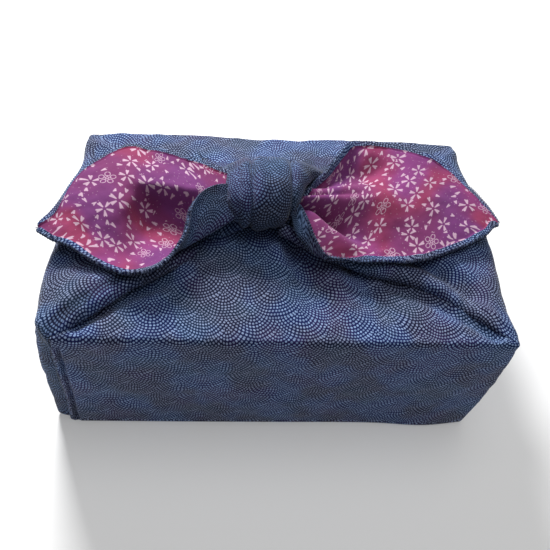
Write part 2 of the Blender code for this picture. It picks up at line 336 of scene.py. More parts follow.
def ruffle(obj: bpy.types.Object, depth: float, size: float, floor: float, seed: float) -> None:
    """Lets a cloth surface waver softly, in directions that ignore its sharp turns.

    Args:
        obj: The sheet, before it has thickness.
        depth: Largest movement.
        size: Distance from one waver to the next.
        floor: Height over the floor below which nothing moves.
        seed: Shifts the pattern.
    """
    mesh = obj.data
    count = len(mesh.vertices)
    points = np.empty(count * 3, np.float32)
    mesh.vertices.foreach_get("co", points)
    normals = np.empty(count * 3, np.float32)
    mesh.vertex_normals.foreach_get("vector", normals)
    points, normals = points.reshape(-1, 3), normals.reshape(-1, 3)
    ends = np.empty(len(mesh.edges) * 2, np.int32)
    mesh.edges.foreach_get("vertices", ends)
    near, far = ends.reshape(-1, 2).T
    for _ in range(SMOOTHING_ROUNDS):
        total = normals.copy()
        np.add.at(total, near, normals[far])
        np.add.at(total, far, normals[near])
        normals = total / np.maximum(np.linalg.norm(total, axis=1), 1e-9)[:, None]
    shift = Vector((seed, 2.3 * seed, -seed))
    moves = np.array([noise.fractal(Vector(p / size) + shift, 0.7, 2.1, 3) for p in points])
    strength = ease((points[:, 2] - floor) / FULL_WAVER)
    points += (moves * strength * depth)[:, None] * normals
    mesh.vertices.foreach_set("co", points.ravel())
    mesh.update()


# ---------------------------------------------------------------------------------------------
# Shader maths
# ---------------------------------------------------------------------------------------------


class Value:
    """A socket that holds a number, so that node maths reads as arithmetic."""

    def __init__(self, graph: "Graph", socket: bpy.types.NodeSocket) -> None:
        """Wraps a socket of a node in the graph."""
        self.graph = graph
        self.socket = socket

    def _math(self, operation: str, *values: "Value | float") -> "Value":
        """Adds one Math node."""
        made = self.graph.node("ShaderNodeMath", {"operation": operation}, *values)
        return Value(self.graph, made.outputs[0])

    def __add__(self, other: "Value | float") -> "Value":
        """Sum."""
        return self._math("ADD", self, other)

    def __sub__(self, other: "Value | float") -> "Value":
        """Difference."""
        return self._math("SUBTRACT", self, other)

    def __mul__(self, other: "Value | float") -> "Value":
        """Product."""
        return self._math("MULTIPLY", self, other)

    def __truediv__(self, other: "Value | float") -> "Value":
        """Quotient."""
        return self._math("DIVIDE", self, other)

    def __rsub__(self, other: float) -> "Value":
        """Number less this."""
        return self._math("SUBTRACT", other, self)

    def __mod__(self, other: "Value | float") -> "Value":
        """Remainder that is never below zero."""
        return self._math("FLOORED_MODULO", self, other)

    def __lt__(self, other: "Value | float") -> "Value":
        """1 where this is smaller, else 0."""
        return self._math("LESS_THAN", self, other)

    def __gt__(self, other: "Value | float") -> "Value":
        """1 where this is larger, else 0."""
        return self._math("GREATER_THAN", self, other)

    def __abs__(self) -> "Value":
        """Size without sign."""
        return self._math("ABSOLUTE", self)

    __radd__ = __add__
    __rmul__ = __mul__

    def floor(self) -> "Value":
        """Whole number below."""
        return self._math("FLOOR", self)

    def round(self) -> "Value":
        """Nearest whole number."""
        return self._math("ROUND", self)

    def sqrt(self) -> "Value":
        """Square root."""
        return self._math("SQRT", self)

    def sin(self) -> "Value":
        """Sine."""
        return self._math("SINE", self)

    def cos(self) -> "Value":
        """Cosine."""
        return self._math("COSINE", self)

    def angle_to(self, other: "Value") -> "Value":
        """Angle of (this, other) in radians, this being the opposite side."""
        return self._math("ARCTAN2", self, other)

    def at_least(self, other: "Value | float") -> "Value":
        """The larger of the two."""
        return self._math("MAXIMUM", self, other)

    def at_most(self, other: "Value | float") -> "Value":
        """The smaller of the two."""
        return self._math("MINIMUM", self, other)

    def fade(self, start: float, end: float) -> "Value":
        """1 at start and 0 at end, smoothly (or 0 to 1 if end is smaller than start)."""
        low, high = min(start, end), max(start, end)
        to_low, to_high = (1.0, 0.0) if start < end else (0.0, 1.0)
        node = self.graph.node(
            "ShaderNodeMapRange", {"interpolation_type": "SMOOTHSTEP"}, self, low, high, to_low, to_high
        )
        return Value(self.graph, node.outputs[0])


class Graph:
    """The node tree of one material."""

    def __init__(self, name: str) -> None:
        """Makes a material with an empty Principled surface."""
        self.material = bpy.data.materials.new(name)
        self.material.use_nodes = True
        self.tree = self.material.node_tree
        self.shader = self.tree.nodes["Principled BSDF"]
        self._row = 0

    def node(
        self, kind: str, settings: dict[str, object], *values: object, **named: object
    ) -> bpy.types.Node:
        """Adds a node.

        Args:
            kind: Blender's name for the node type.
            settings: Its properties, set before its sockets.
            *values: Values or links of its input sockets, in order; None leaves one alone.
            **named: Values or links of input sockets by name, with _ for a space.

        Returns:
            The node.
        """
        made = self.tree.nodes.new(kind)
        self._row += 1
        made.location = (-220.0 * (self._row // 24) - 300.0, -160.0 * (self._row % 24))
        for key, value in settings.items():
            setattr(made, key, value)
        for socket, value in zip(made.inputs, values):
            self.feed(socket, value)
        for key, value in named.items():
            self.feed(made.inputs[key.replace("_", " ")], value)
        return made

    def feed(self, socket: bpy.types.NodeSocket, value: object) -> None:
        """Links or sets one input socket; None leaves it alone."""
        if value is None:
            return
        if isinstance(value, Value):
            value = value.socket
        if isinstance(value, bpy.types.NodeSocket):
            self.tree.links.new(value, socket)
        else:
            socket.default_value = value

    def cloth_place(self) -> tuple[Value, Value]:
        """The place on the flat cloth, across and along, in millimetres."""
        flat = self.node("ShaderNodeUVMap", {"uv_map": CLOTH_MAP})
        parts = self.node("ShaderNodeSeparateXYZ", {}, flat.outputs["UV"])
        return Value(self, parts.outputs[0]) * (1 / MM), Value(self, parts.outputs[1]) * (1 / MM)

    def vector(self, x: object, y: object, z: object = 0.0) -> bpy.types.NodeSocket:
        """A vector of three numbers."""
        return self.node("ShaderNodeCombineXYZ", {}, x, y, z).outputs[0]

    def noise(
        self, place: bpy.types.NodeSocket, size: float, detail: float = 2.0, rough: float = 0.5
    ) -> Value:
        """Soft noise between 0 and 1, whose blotches are about one size of the place's units apart."""
        made = self.node(
            "ShaderNodeTexNoise", {}, Vector=place, Scale=1 / size, Detail=detail, Roughness=rough
        )
        return Value(self, made.outputs["Fac"])

    def mix(self, share: object, a: object, b: object) -> bpy.types.NodeSocket:
        """A colour between a and b."""
        made = self.node("ShaderNodeMix", {"data_type": "RGBA"})
        self.feed(made.inputs["Factor"], share)
        self.feed(made.inputs[6], a)
        self.feed(made.inputs[7], b)
        return made.outputs[2]

    def scale_colour(self, colour: object, by: object) -> bpy.types.NodeSocket:
        """A colour made lighter or darker."""
        made = self.node("ShaderNodeVectorMath", {"operation": "SCALE"})
        self.feed(made.inputs[0], colour)
        self.feed(made.inputs["Scale"], by)
        return made.outputs[0]

    def bump(self, height: object, distance: float, strength: float) -> bpy.types.NodeSocket:
        """A normal tilted by a height given in units of `distance` metres."""
        made = self.node("ShaderNodeBump", {})
        self.feed(made.inputs["Strength"], strength)
        self.feed(made.inputs["Distance"], distance)
        self.feed(made.inputs["Height"], height)
        return made.outputs["Normal"]


Colour = tuple[float, float, float, float]


def srgb(red: int, green: int, blue: int) -> Colour:
    """A colour given as screen values from 0 to 255, in linear light."""
    channels = [c / 255 for c in (red, green, blue)]
    linear = [c / 12.92 if c <= 0.04045 else ((c + 0.055) / 1.055) ** 2.4 for c in channels]
    return (linear[0], linear[1], linear[2], 1.0)


# ---------------------------------------------------------------------------------------------
# Finishes
# ---------------------------------------------------------------------------------------------


@dataclass(frozen=True)
class Weave:
    """Plain weave of fine cotton: its threads, its slubs and how strongly its threads are raised."""

    pitch: float = 0.55
    slub: float = 9.0
    strength: float = 0.35

    def height(self, graph: Graph, x: Value, y: Value) -> Value:
        """Height of the threads over the cloth's middle, from 0 to about 1."""
        wobble = graph.noise(graph.vector(x, y), self.slub) * 1.6
        warp = ((x + wobble) * (TURN / self.pitch)).sin()
        weft = ((y - wobble) * (TURN / self.pitch)).sin()
        return warp * weft * 0.25 + warp * 0.12 + weft * 0.12 + 0.5


@dataclass(frozen=True)
class DottedCotton:
    """The outer face: pale dots in rings that make overlapping fans on navy.

    A fan's radius is in millimetres, and the fans' distances across and along the cloth are in radii.
    The dots' size, soft edge and distance along a ring are in steps from ring to ring.
    """

    name: str = "dotted_cotton"
    fan: float = 15.8
    rings: float = 9.2
    across: float = 1.58
    along: float = 0.70
    dot: float = 0.31
    dot_edge: float = 0.07
    dot_step: float = 0.93
    slip: float = 6.0
    slip_size: float = 24.0
    ground: Colour = srgb(8, 26, 82)
    ground_dull: Colour = srgb(14, 18, 50)
    violet: Colour = srgb(40, 18, 74)
    teal: Colour = srgb(8, 42, 66)
    mark: Colour = srgb(140, 166, 208)
    mark_dull: Colour = srgb(134, 146, 178)
    weave: Weave = field(default_factory=Weave)

    def fan_place(self, graph: Graph, x: Value, y: Value, row: Value) -> tuple[Value, Value, Value]:
        """Where a point lies in the nearest fan of one row.

        Args:
            graph: The material's nodes; not used.
            x: Place across, in fans' radii.
            y: Place along, in fans' radii.
            row: Number of the row of fans.

        Returns:
            The distance from the fan's middle, and how far across and along from it.
        """
        half = (row % 2.0) * 0.5
        middle = ((x / self.across - half).round() + half) * self.across
        aside, up = x - middle, y - row * self.along
        return (aside * aside + up * up).sqrt(), aside, up

    def dots(self, graph: Graph, x: Value, y: Value) -> tuple[Value, Value]:
        """The dots of the fans, and each dot's own random number.

        Args:
            graph: The material's nodes.
            x: Place across, in millimetres.
            y: Place along, in millimetres.

        Returns:
            1 on a dot and 0 on the ground, and a random number from 0 to 1.
        """
        aslant = graph.noise(graph.vector(x, y), self.slip_size) * self.slip
        askew = graph.noise(graph.vector(y, x, 3.0), self.slip_size) * self.slip
        x, y = (x + aslant) / self.fan, (y + askew) / self.fan
        row = (y / self.along).floor()
        low, near, high = (self.fan_place(graph, x, y, row + float(step)) for step in (0, 1, 2))
        in_high = high[0] < 1.0
        in_near = (1.0 - in_high) * (near[0] < 1.0)
        in_low = 1.0 - in_high - in_near
        far, aside, up = (in_high * high[k] + in_near * near[k] + in_low * low[k] for k in range(3))
        place = far * self.rings
        ring = place.round()
        count = (ring * (TURN / self.dot_step)).round().at_least(1.0)
        start = graph.node("ShaderNodeTexWhiteNoise", {"noise_dimensions": "1D"}, None, ring)
        turn = aside.angle_to(up) * count / TURN + Value(graph, start.outputs["Value"])
        own = turn.round()
        step, off = (turn - own) * self.dot_step, place - ring
        gap = (step * step + off * off).sqrt()
        tint = graph.node("ShaderNodeTexWhiteNoise", {"noise_dimensions": "2D"}, graph.vector(own, ring))
        dots = gap.fade(self.dot - self.dot_edge, self.dot + self.dot_edge)
        return dots, Value(graph, tint.outputs["Value"])

    def colour(self, graph: Graph, x: Value, y: Value) -> bpy.types.NodeSocket:
        """The printed colour at a place on the cloth."""
        dots, tint = self.dots(graph, x, y)
        drift = graph.noise(graph.vector(x, y), 34.0, rough=0.55).fade(0.60, 0.40)
        hue = graph.noise(graph.vector(y, x, 5.0), 26.0)
        ground = graph.mix(drift, self.ground_dull, self.ground)
        ground = graph.mix(hue.fade(0.64, 0.52) * 0.5, ground, self.violet)
        ground = graph.mix(hue.fade(0.36, 0.48) * 0.5, ground, self.teal)
        mark = graph.mix(drift, self.mark_dull, self.mark)
        return graph.mix(dots * (tint * 0.40 + 0.60), ground, mark)

    def build(self) -> bpy.types.Material:
        """Makes the material."""
        graph = Graph(self.name)
        x, y = graph.cloth_place()
        threads = self.weave.height(graph, x, y)
        colour = graph.scale_colour(self.colour(graph, x, y), threads * 0.34 + 0.83)
        finish_cotton(graph, colour, threads, self.weave, x, y)
        return graph.material


@dataclass(frozen=True)
class BlossomCotton:
    """The inner face: pale blossoms, loose petals and specks on plum. Sizes are in millimetres."""

    name: str = "blossom_cotton"
    blossom_cell: float = 13.6
    petal_cell: float = 6.4
    speck_cell: float = 2.6
    reach: float = 5.0
    plum: Colour = srgb(130, 59, 120)
    rose: Colour = srgb(142, 53, 90)
    violet: Colour = srgb(98, 48, 106)
    pale: Colour = srgb(202, 170, 190)
    weave: Weave = field(default_factory=lambda: Weave(pitch=0.6, strength=0.3))

    def scatter(
        self, graph: Graph, x: Value, y: Value, cell: float, uneven: float
    ) -> tuple[Value, Value, list[Value]]:
        """Scatters points, and finds where a place lies from the nearest one.

        Args:
            graph: The material's nodes.
            x: Place across, in millimetres.
            y: Place along, in millimetres.
            cell: Distance from one point to the next.
            uneven: 0 for a plain grid, 1 for a loose scatter.

        Returns:
            How far across and along from the point, and three random numbers of its own.
        """
        points = graph.node(
            "ShaderNodeTexVoronoi",
            {"voronoi_dimensions": "2D"},
            Vector=graph.vector(x, y),
            Scale=1 / cell,
            Randomness=uneven,
        )
        centre = graph.node("ShaderNodeSeparateXYZ", {}, points.outputs["Position"])
        own = graph.node("ShaderNodeSeparateColor", {}, points.outputs["Color"])
        randoms = [Value(graph, output) for output in own.outputs[:3]]
        return x - Value(graph, centre.outputs[0]), y - Value(graph, centre.outputs[1]), randoms

    def petal(self, along: Value, aside: Value, start: float, end: float) -> Value:
        """One solid petal: a wedge that widens outwards to a notched end.

        Args:
            along: Distance along the petal, in millimetres.
            aside: Distance from its middle line.
            start: Where it starts.
            end: Where it ends.

        Returns:
            1 inside and 0 outside.
        """
        aside = abs(aside)
        share = (along - start) / (end - start)
        width = share * 0.92 + 0.30
        tip = end - 0.55 + (aside * 0.9).at_most(0.55) - ((aside - 0.75).at_least(0.0)) * 1.8
        inside = (start - along).fade(-0.25, 0.25)
        return inside * (along - tip).fade(-0.22, 0.22) * (aside - width).fade(-0.22, 0.22)

    def five(self, far: Value, turn: Value) -> tuple[Value, Value]:
        """Folds a place round a blossom into one of its five petals: along it and aside from it."""
        fifth = TURN / 5
        part = turn / fifth
        off = (part - part.round()) * fifth
        return far * off.cos(), far * off.sin()

    def blossoms(self, graph: Graph, x: Value, y: Value) -> tuple[Value, Value]:
        """The blossoms, solid and in outline.

        Args:
            graph: The material's nodes.
            x: Place across, in millimetres.
            y: Place along, in millimetres.

        Returns:
            1 on a mark, and 1 anywhere in a blossom's own space.
        """
        dx, dy, (kind, spin, size) = self.scatter(graph, x, y, self.blossom_cell, 0.72)
        far = (dx * dx + dy * dy).sqrt() * (size * 0.25 + 0.90)
        along, aside = self.five(far, dy.angle_to(dx) + spin * TURN)
        solid = self.petal(along, aside, 1.05, self.reach)
        dents = (abs(aside) * 1.4 + 4.2).at_most(5.0)
        ring = ((along - 3.0) * (along - 3.0) + aside * aside * 1.25).sqrt()
        outline = abs(ring - 1.45).fade(0.17, 0.33) * (dents - along).fade(0.12, -0.12)
        heart = abs(far - 0.75).fade(0.15, 0.30)
        stamen = abs(aside).fade(0.10, 0.24) * (far > 0.9) * (far < 2.1)
        drawn = outline.at_least(heart).at_least(stamen) * 0.85
        is_solid = kind < 0.58
        is_drawn = (1.0 - is_solid) * (kind < 0.88)
        space = (far < self.reach + 0.5) * (kind < 0.88)
        return solid * is_solid + drawn * is_drawn, space

    def loose_petals(self, graph: Graph, x: Value, y: Value) -> Value:
        """Single petals that have blown between the blossoms."""
        dx, dy, (kind, spin, _) = self.scatter(graph, x, y, self.petal_cell, 0.8)
        far = (dx * dx + dy * dy).sqrt()
        turn = dy.angle_to(dx) + spin * TURN
        along, aside = far * turn.cos() + 1.9, far * turn.sin()
        return self.petal(along, aside, 0.4, 3.5) * (kind < 0.62)

    def specks(self, graph: Graph, x: Value, y: Value) -> Value:
        """Pin-prick dots."""
        dx, dy, (kind, _, _) = self.scatter(graph, x, y, self.speck_cell, 1.0)
        return (dx * dx + dy * dy).sqrt().fade(0.16, 0.34) * (kind < 0.35) * 0.5

    def build(self) -> bpy.types.Material:
        """Makes the material."""
        graph = Graph(self.name)
        x, y = graph.cloth_place()
        threads = self.weave.height(graph, x, y)
        marks, space = self.blossoms(graph, x, y)
        others = self.loose_petals(graph, x, y).at_least(self.specks(graph, x, y)) * (1.0 - space)
        place = graph.vector(x, y)
        ground = graph.mix(graph.noise(place, 42.0, 1.0).fade(0.60, 0.42), self.rose, self.plum)
        cool = graph.noise(graph.vector(y, x, 7.0), 55.0, 1.0).fade(0.62, 0.50)
        ground = graph.mix((1.0 - cool) * 0.6, ground, self.violet)
        worn = graph.noise(place, 1 / 0.9).fade(0.30, 0.75) * 0.16 + 0.80
        colour = graph.mix(marks.at_least(others) * worn, ground, self.pale)
        colour = graph.scale_colour(colour, threads * 0.30 + 0.85)
        finish_cotton(graph, colour, threads, self.weave, x, y)
        return graph.material


def finish_cotton(graph: Graph, colour: object, threads: Value, weave: Weave, x: Value, y: Value) -> None:
    """Gives a printed cotton its surface: matt, a little fuzzy, with its threads raised.

    Args:
        graph: The material's nodes.
        colour: The printed colour.
        threads: Height of the threads, from 0 to about 1.
        weave: The weave.
        x: Place across, in millimetres.
        y: Place along, in millimetres.
    """
    crease = graph.noise(graph.vector(x, y), 7.0, 4.0, 0.6)
    normal = graph.bump(threads * 0.10 + crease, 0.0011, weave.strength)
    graph.feed(graph.shader.inputs["Base Color"], colour)
    graph.feed(graph.shader.inputs["Roughness"], threads * -0.10 + 0.88)
    graph.feed(graph.shader.inputs["Normal"], normal)
    graph.shader.inputs["Specular IOR Level"].default_value = 0.15
    graph.shader.inputs["Sheen Weight"].default_value = 0.12
    graph.shader.inputs["Sheen Roughness"].default_value = 0.45


@dataclass(frozen=True)
class HemThread:
    """Dark overlock thread, mottled as its plies are. Its size is in metres."""

    name: str = "hem_thread"
    ply: float = 1 / 1500
    shade: Colour = srgb(22, 28, 52)
    light: Colour = srgb(84, 98, 138)

    def build(self) -> bpy.types.Material:
        """Makes the material."""
        graph = Graph(self.name)
        place = graph.node("ShaderNodeTexCoord", {}).outputs["Object"]
        ply = graph.noise(place, self.ply)
        colour = graph.mix(ply.fade(0.65, 0.35), self.light, self.shade)
        graph.feed(graph.shader.inputs["Base Color"], colour)
        graph.feed(graph.shader.inputs["Roughness"], ply * 0.2 + 0.6)
        graph.feed(graph.shader.inputs["Normal"], graph.bump(ply, 0.0002, 0.4))
        graph.shader.inputs["Sheen Weight"].default_value = 0.15
        return graph.material


@dataclass(frozen=True)
class Finishes:
    """Every material of the object, among them a darker copy of the dotted cotton that is painted shade."""

    dotted: bpy.types.Material
    # darker copy of the dotted cotton: painted shade on the knot, in the left tuck and under the loose ends
    gathered: bpy.types.Material
    blossom: bpy.types.Material
    thread: bpy.types.Material

    @classmethod
    def make(cls) -> "Finishes":
        """Builds them all."""
        # The same print with a darker ground and dimmer dots: painted shade, not another cloth.
        gathered = DottedCotton(
            name="dotted_cotton_painted_shade",
            ground=srgb(6, 18, 54),
            ground_dull=srgb(10, 12, 36),
            mark=srgb(108, 132, 172),
            mark_dull=srgb(104, 118, 148),
        )
        return cls(DottedCotton().build(), gathered.build(), BlossomCotton().build(), HemThread().build())


# ---------------------------------------------------------------------------------------------
# The wrapped parcel
# ---------------------------------------------------------------------------------------------


class Side(Enum):
    """The parcel's upright sides, anticlockwise from the front."""

    FRONT = 0
    RIGHT = 1
    BACK = 2
    LEFT = 3

    @property
    def has_panel(self) -> bool:
        """Whether the roof above it is a panel and not a wing."""
        return self in (Side.FRONT, Side.BACK)

    @property
    def next(self) -> "Side":
        """The side after it."""
        return Side((self.value + 1) % 4)


@dataclass(frozen=True)
class Crease:
    """An upright tuck or roll of a side: its depth, and its place and width along the side."""

    depth: float
    place: float
    width: float

    def at(self, places: np.ndarray) -> np.ndarray:
        """Its depth at distances along the side."""
        return self.depth * np.exp(-(((places - self.place) / self.width) ** 2))


@dataclass
class WrappedCloth:
    """The base, the sides, the roof panels and the wings: the cloth up to the knot.

    The swell tables hold, for shares of the way along a side, how far it stands out at the floor,
    at half its height and at the roof. A panel's end is its two corners in plan, then the height
    of its corners and of its middle. The ridges are points in space, from the corner to the knot.
    """

    finishes: Finishes
    thickness: float = 0.0005
    base_round: float = 0.0024
    edge_round: float = 0.0030
    wing_round: float = 0.0085
    corner_round: float = 0.0026
    shoulder: float = 0.0095
    tight_share: float = 0.75
    wing_step: float = 0.0020
    step_run: float = 0.008
    step: float = 0.0023
    lip_round: float = 0.0038
    neck_rise: float = 0.0030
    side_length: dict[bool, float] = field(default_factory=lambda: {True: 0.236, False: 0.153})
    panel_run: float = 0.078
    wing_run: float = 0.105
    corner_columns: int = 12
    # how many columns of the left side by the front corner are painted in shade
    tuck_columns: int = 11
    front_tuck: Crease = Crease(0.0030, 0.0034, 0.0012)
    side_tuck: Crease = Crease(0.0052, 0.0032, 0.0011)
    tuck_run: float = 0.05
    floor_corners: tuple[tuple[float, float], ...] = (
        (-0.1190, -0.0755), (0.1190, -0.0762), (0.1170, 0.0763), (-0.1170, 0.0763),
    )
    roof_corners: tuple[tuple[float, float], ...] = (
        (-0.1175, -0.0763), (0.1212, -0.0766), (0.1195, 0.0822), (-0.1175, 0.0765),
    )
    corner_swell: tuple[float, ...] = (0.0, 0.0024, 0.0, 0.0)
    swell: dict[Side, tuple[tuple[float, float, float, float], ...]] = field(
        default_factory=lambda: {
            Side.FRONT: (
                (0.0, 0.0, 0.0, 0.0), (0.25, 0.0004, 0.0012, 0.0004), (0.5, 0.0006, 0.0016, 0.0006),
                (0.76, 0.0010, 0.0012, 0.0004), (0.90, 0.0026, 0.0010, 0.0), (1.0, 0.0, 0.0, 0.0),
            ),
            Side.RIGHT: (
                (0.0, 0.0, 0.0, 0.0), (0.10, 0.0004, 0.0012, 0.0004), (0.35, 0.0015, 0.0030, 0.0030),
                (0.75, 0.0010, 0.0030, 0.0035), (1.0, 0.0, 0.0, 0.0),
            ),
            Side.BACK: (
                (0.0, 0.0, 0.0, 0.0), (0.25, 0.0010, 0.0020, 0.0036), (0.55, 0.0010, 0.0010, 0.0010),
                (0.85, 0.0010, 0.0025, 0.0030), (1.0, 0.0, 0.0, 0.0),
            ),
            Side.LEFT: (
                (0.0, 0.0, 0.0, 0.0), (0.30, 0.0020, 0.0050, 0.0040), (0.62, 0.0030, 0.0098, 0.0085),
                (0.85, 0.0030, 0.0105, 0.0096), (0.945, 0.0022, 0.0070, 0.0062), (1.0, 0.0, 0.0, 0.0),
            ),
        }
    )
    panel_ends: dict[Side, tuple[tuple[float, float], tuple[float, float], float, float]] = field(
        default_factory=lambda: {
            Side.FRONT: ((-0.0660, 0.0040), (0.0520, 0.0040), 0.0915, 0.0990),
            Side.BACK: ((0.0520, 0.0060), (-0.0660, 0.0060), 0.0915, 0.0990),
        }
    )
    ridges: dict[str, tuple[tuple[float, float, float], ...]] = field(
        default_factory=lambda: {
            "left_front": (
                (-0.1070, -0.0640, 0.0950), (-0.0950, -0.0535, 0.0966), (-0.0820, -0.0440, 0.0984),
                (-0.0670, -0.0350, 0.0996), (-0.0540, -0.0240, 0.0998), (-0.0400, -0.0120, 0.1006),
                (-0.0220, -0.0030, 0.1040),
            ),
            "left_back": (
                (-0.1000, 0.0620, 0.0945), (-0.0830, 0.0480, 0.0964), (-0.0640, 0.0360, 0.0990),
                (-0.0460, 0.0250, 0.1022), (-0.0220, 0.0120, 0.1075),
            ),
            "right_front": (
                (0.1050, -0.0600, 0.0944), (0.0890, -0.0465, 0.0962), (0.0715, -0.0380, 0.0978),
                (0.0450, -0.0320, 0.1000), (0.0230, -0.0230, 0.1025), (-0.0030, -0.0120, 0.1070),
            ),
            "right_back": (
                (0.1000, 0.0630, 0.0945), (0.0800, 0.0480, 0.0964), (0.0540, 0.0350, 0.0990),
                (0.0250, 0.0240, 0.1022), (-0.0030, 0.0120, 0.1075),
            ),
        }
    )
    panel_folds: tuple[Fold, ...] = (
        Fold(((0.0030, -0.0180), (0.0090, -0.0340), (0.0140, -0.0520)), -0.0036, 0.0046, 0.55, 0.6),
        Fold(((0.0320, -0.0240), (0.0420, -0.0350), (0.0530, -0.0560)), -0.0044, 0.0048, 0.55, 0.5),
        Fold(((0.0180, -0.0220), (0.0260, -0.0400), (0.0310, -0.0560)), 0.0024, 0.0055, 0.4, 0.3),
        Fold(((-0.0040, -0.0200), (-0.0050, -0.0580)), 0.0026, 0.0052, 0.5, 0.4),
        Fold(((-0.0170, -0.0210), (-0.0230, -0.0420)), -0.0020, 0.0052, 0.6, 0.4),
        Fold(
            ((-0.1050, -0.0670), (-0.0940, -0.0585), (-0.0810, -0.0485), (-0.0650, -0.0400)),
            -0.0048, 0.0034, 0.2, 0.8,
        ),
        Fold(
            ((0.1080, -0.0715), (0.0990, -0.0640), (0.0860, -0.0545), (0.0560, -0.0400)),
            -0.0034, 0.0030, 0.2, 0.5,
        ),
        Fold(((-0.0300, 0.0600), (-0.0180, 0.0200)), 0.0014, 0.0100),
        Fold(((0.0240, 0.0600), (0.0100, 0.0220)), -0.0014, 0.0080),
    )
    wing_folds: tuple[Fold, ...] = (
        Fold(
            ((0.0560, -0.0190), (0.0760, -0.0270), (0.0890, -0.0360), (0.0990, -0.0470)),
            -0.0070, 0.0058, 0.2, 0.2,
        ),
        Fold(((-0.0480, -0.0120), (-0.0850, -0.0200), (-0.1060, -0.0300)), -0.0052, 0.0105, 0.4),
        Fold(((-0.0560, -0.0020), (-0.0850, -0.0060)), -0.0052, 0.0110),
        Fold(((0.0180, -0.0080), (0.0420, -0.0180)), -0.0048, 0.0100),
        Fold(((-0.1120, -0.0520), (-0.0800, -0.0330)), 0.0010, 0.0070),
        Fold(((-0.0950, 0.0330), (-0.0500, 0.0130)), -0.0020, 0.0100),
        Fold(((0.0980, 0.0350), (0.0450, 0.0150)), -0.0020, 0.0100),
    )

    def side_line(
        self, side: Side, height: float, inset: np.ndarray | float
    ) -> tuple[np.ndarray, np.ndarray]:
        """One level line of a side, with half of each upright corner.

        Args:
            side: Which side.
            height: Share of the height, 0 at the floor and 1 at the roof.
            inset: How far the line lies inside the side's face, for all columns or for each.

        Returns:
            The line's points in plan, and how far along the side each one is.
        """
        floor, roof = np.array(self.floor_corners), np.array(self.roof_corners)
        corners = floor + (roof - floor) * height
        corners[:, 0] += np.array(self.corner_swell) * 4 * height * (1 - height)
        start, end = corners[side.value], corners[side.next.value]
        length = np.linalg.norm(end - start)
        along = (end - start) / length
        outwards = np.array([along[1], -along[0]])
        bend = np.radians([45.0, 33.75, 22.5, 11.25, 0.0])
        count = int(round(self.side_length[side.has_panel] / self.step))
        straight = self.corner_round + (length - 2 * self.corner_round) * crowd_ends(count, 0.78)[1:-1]
        turn_along = self.corner_round * (1 - np.sin(bend))
        turn_depth = self.corner_round * (1 - np.cos(bend))
        places = np.concatenate([turn_along, straight, (length - turn_along)[::-1]])
        depths = np.concatenate([turn_depth, 0 * straight, turn_depth[::-1]])
        angles = np.concatenate([-bend, 0 * straight, bend[::-1]])
        facing = np.cos(angles)[:, None] * outwards + np.sin(angles)[:, None] * along
        out = self.swell_at(side, places / length, height) - depths + self.tuck(side, places, height)
        line = start + places[:, None] * along + out[:, None] * outwards
        return line - np.atleast_1d(inset)[:, None] * facing, places

    def swell_at(self, side: Side, across: np.ndarray, height: float) -> np.ndarray:
        """How far a side stands out of its straight line.

        Args:
            side: Which side.
            across: Shares of the way along it.
            height: Share of the height.

        Returns:
            The distances outwards.
        """
        table = np.array(self.swell[side])
        low, middle, high = (smooth_table(across, table[:, 0], table[:, k]) for k in (1, 2, 3))
        h = min(max(height, 0.0), 1.0)
        return low * (1 - h) * (1 - 2 * h) + middle * 4 * h * (1 - h) + high * h * (2 * h - 1)

    def tuck(self, side: Side, places: np.ndarray, height: float) -> np.ndarray:
        """The tuck on both sides of the front left edge, and the roll of the side's cloth behind it.

        Args:
            side: Which side.
            places: Distances along it.
            height: Share of the height.

        Returns:
            The distances outwards.
        """
        fall = 1 - min(height, 1.0)
        strength = min(fall / self.tuck_run, 1.0)
        if side is Side.FRONT:
            return self.front_tuck.at(places) * -strength * min(height / self.tuck_run, 1.0)
        if side is not Side.LEFT:
            return np.zeros_like(places)
        to_end = places[-1] + places[0] - places
        roll = Crease(0.0006 + 0.0064 * fall**1.1, 0.0092 - 0.0034 * fall**2, 0.0034)
        return roll.at(to_end) - self.side_tuck.at(to_end) * strength

    def wall(self, side: Side) -> tuple[np.ndarray, np.ndarray]:
        """A side from the base's outline to the shoulder.

        Args:
            side: Which side.

        Returns:
            Its points and their places on the flat cloth.
        """
        rows, flats = [], []
        for a in QUARTER:
            z = self.base_round * (1 - math.cos(a))
            rows.append(self.level(side, z, self.base_round * (1 - math.sin(a))))
            flats.append(a * self.base_round)
        top = HEIGHT - self.shoulder
        heights = np.linspace(self.base_round, top, int((top - self.base_round) / self.step))[1:]
        for z in heights:
            rows.append(self.level(side, z, 0.0))
            flats.append(z)
        grid = np.array([row for row, _ in rows])
        heights = np.repeat(np.array(flats)[:, None], grid.shape[1], axis=1)
        return grid, np.stack([self.row_places(grid), heights], axis=-1)

    def row_places(self, grid: np.ndarray) -> np.ndarray:
        """Distances along each row of points, measured so that the rows' middles line up."""
        lengths = lengths_along(np.swapaxes(grid, 0, 1)).T
        middle = grid.shape[1] // 2
        return lengths - lengths[:, middle : middle + 1] + lengths[0, middle]

    def level(self, side: Side, z: float, inset: np.ndarray | float) -> tuple[np.ndarray, np.ndarray]:
        """A side's level line at height z: its points, and their places along the side."""
        line, places = self.side_line(side, z / HEIGHT, inset)
        return np.column_stack([line, np.full(len(line), z)]), places

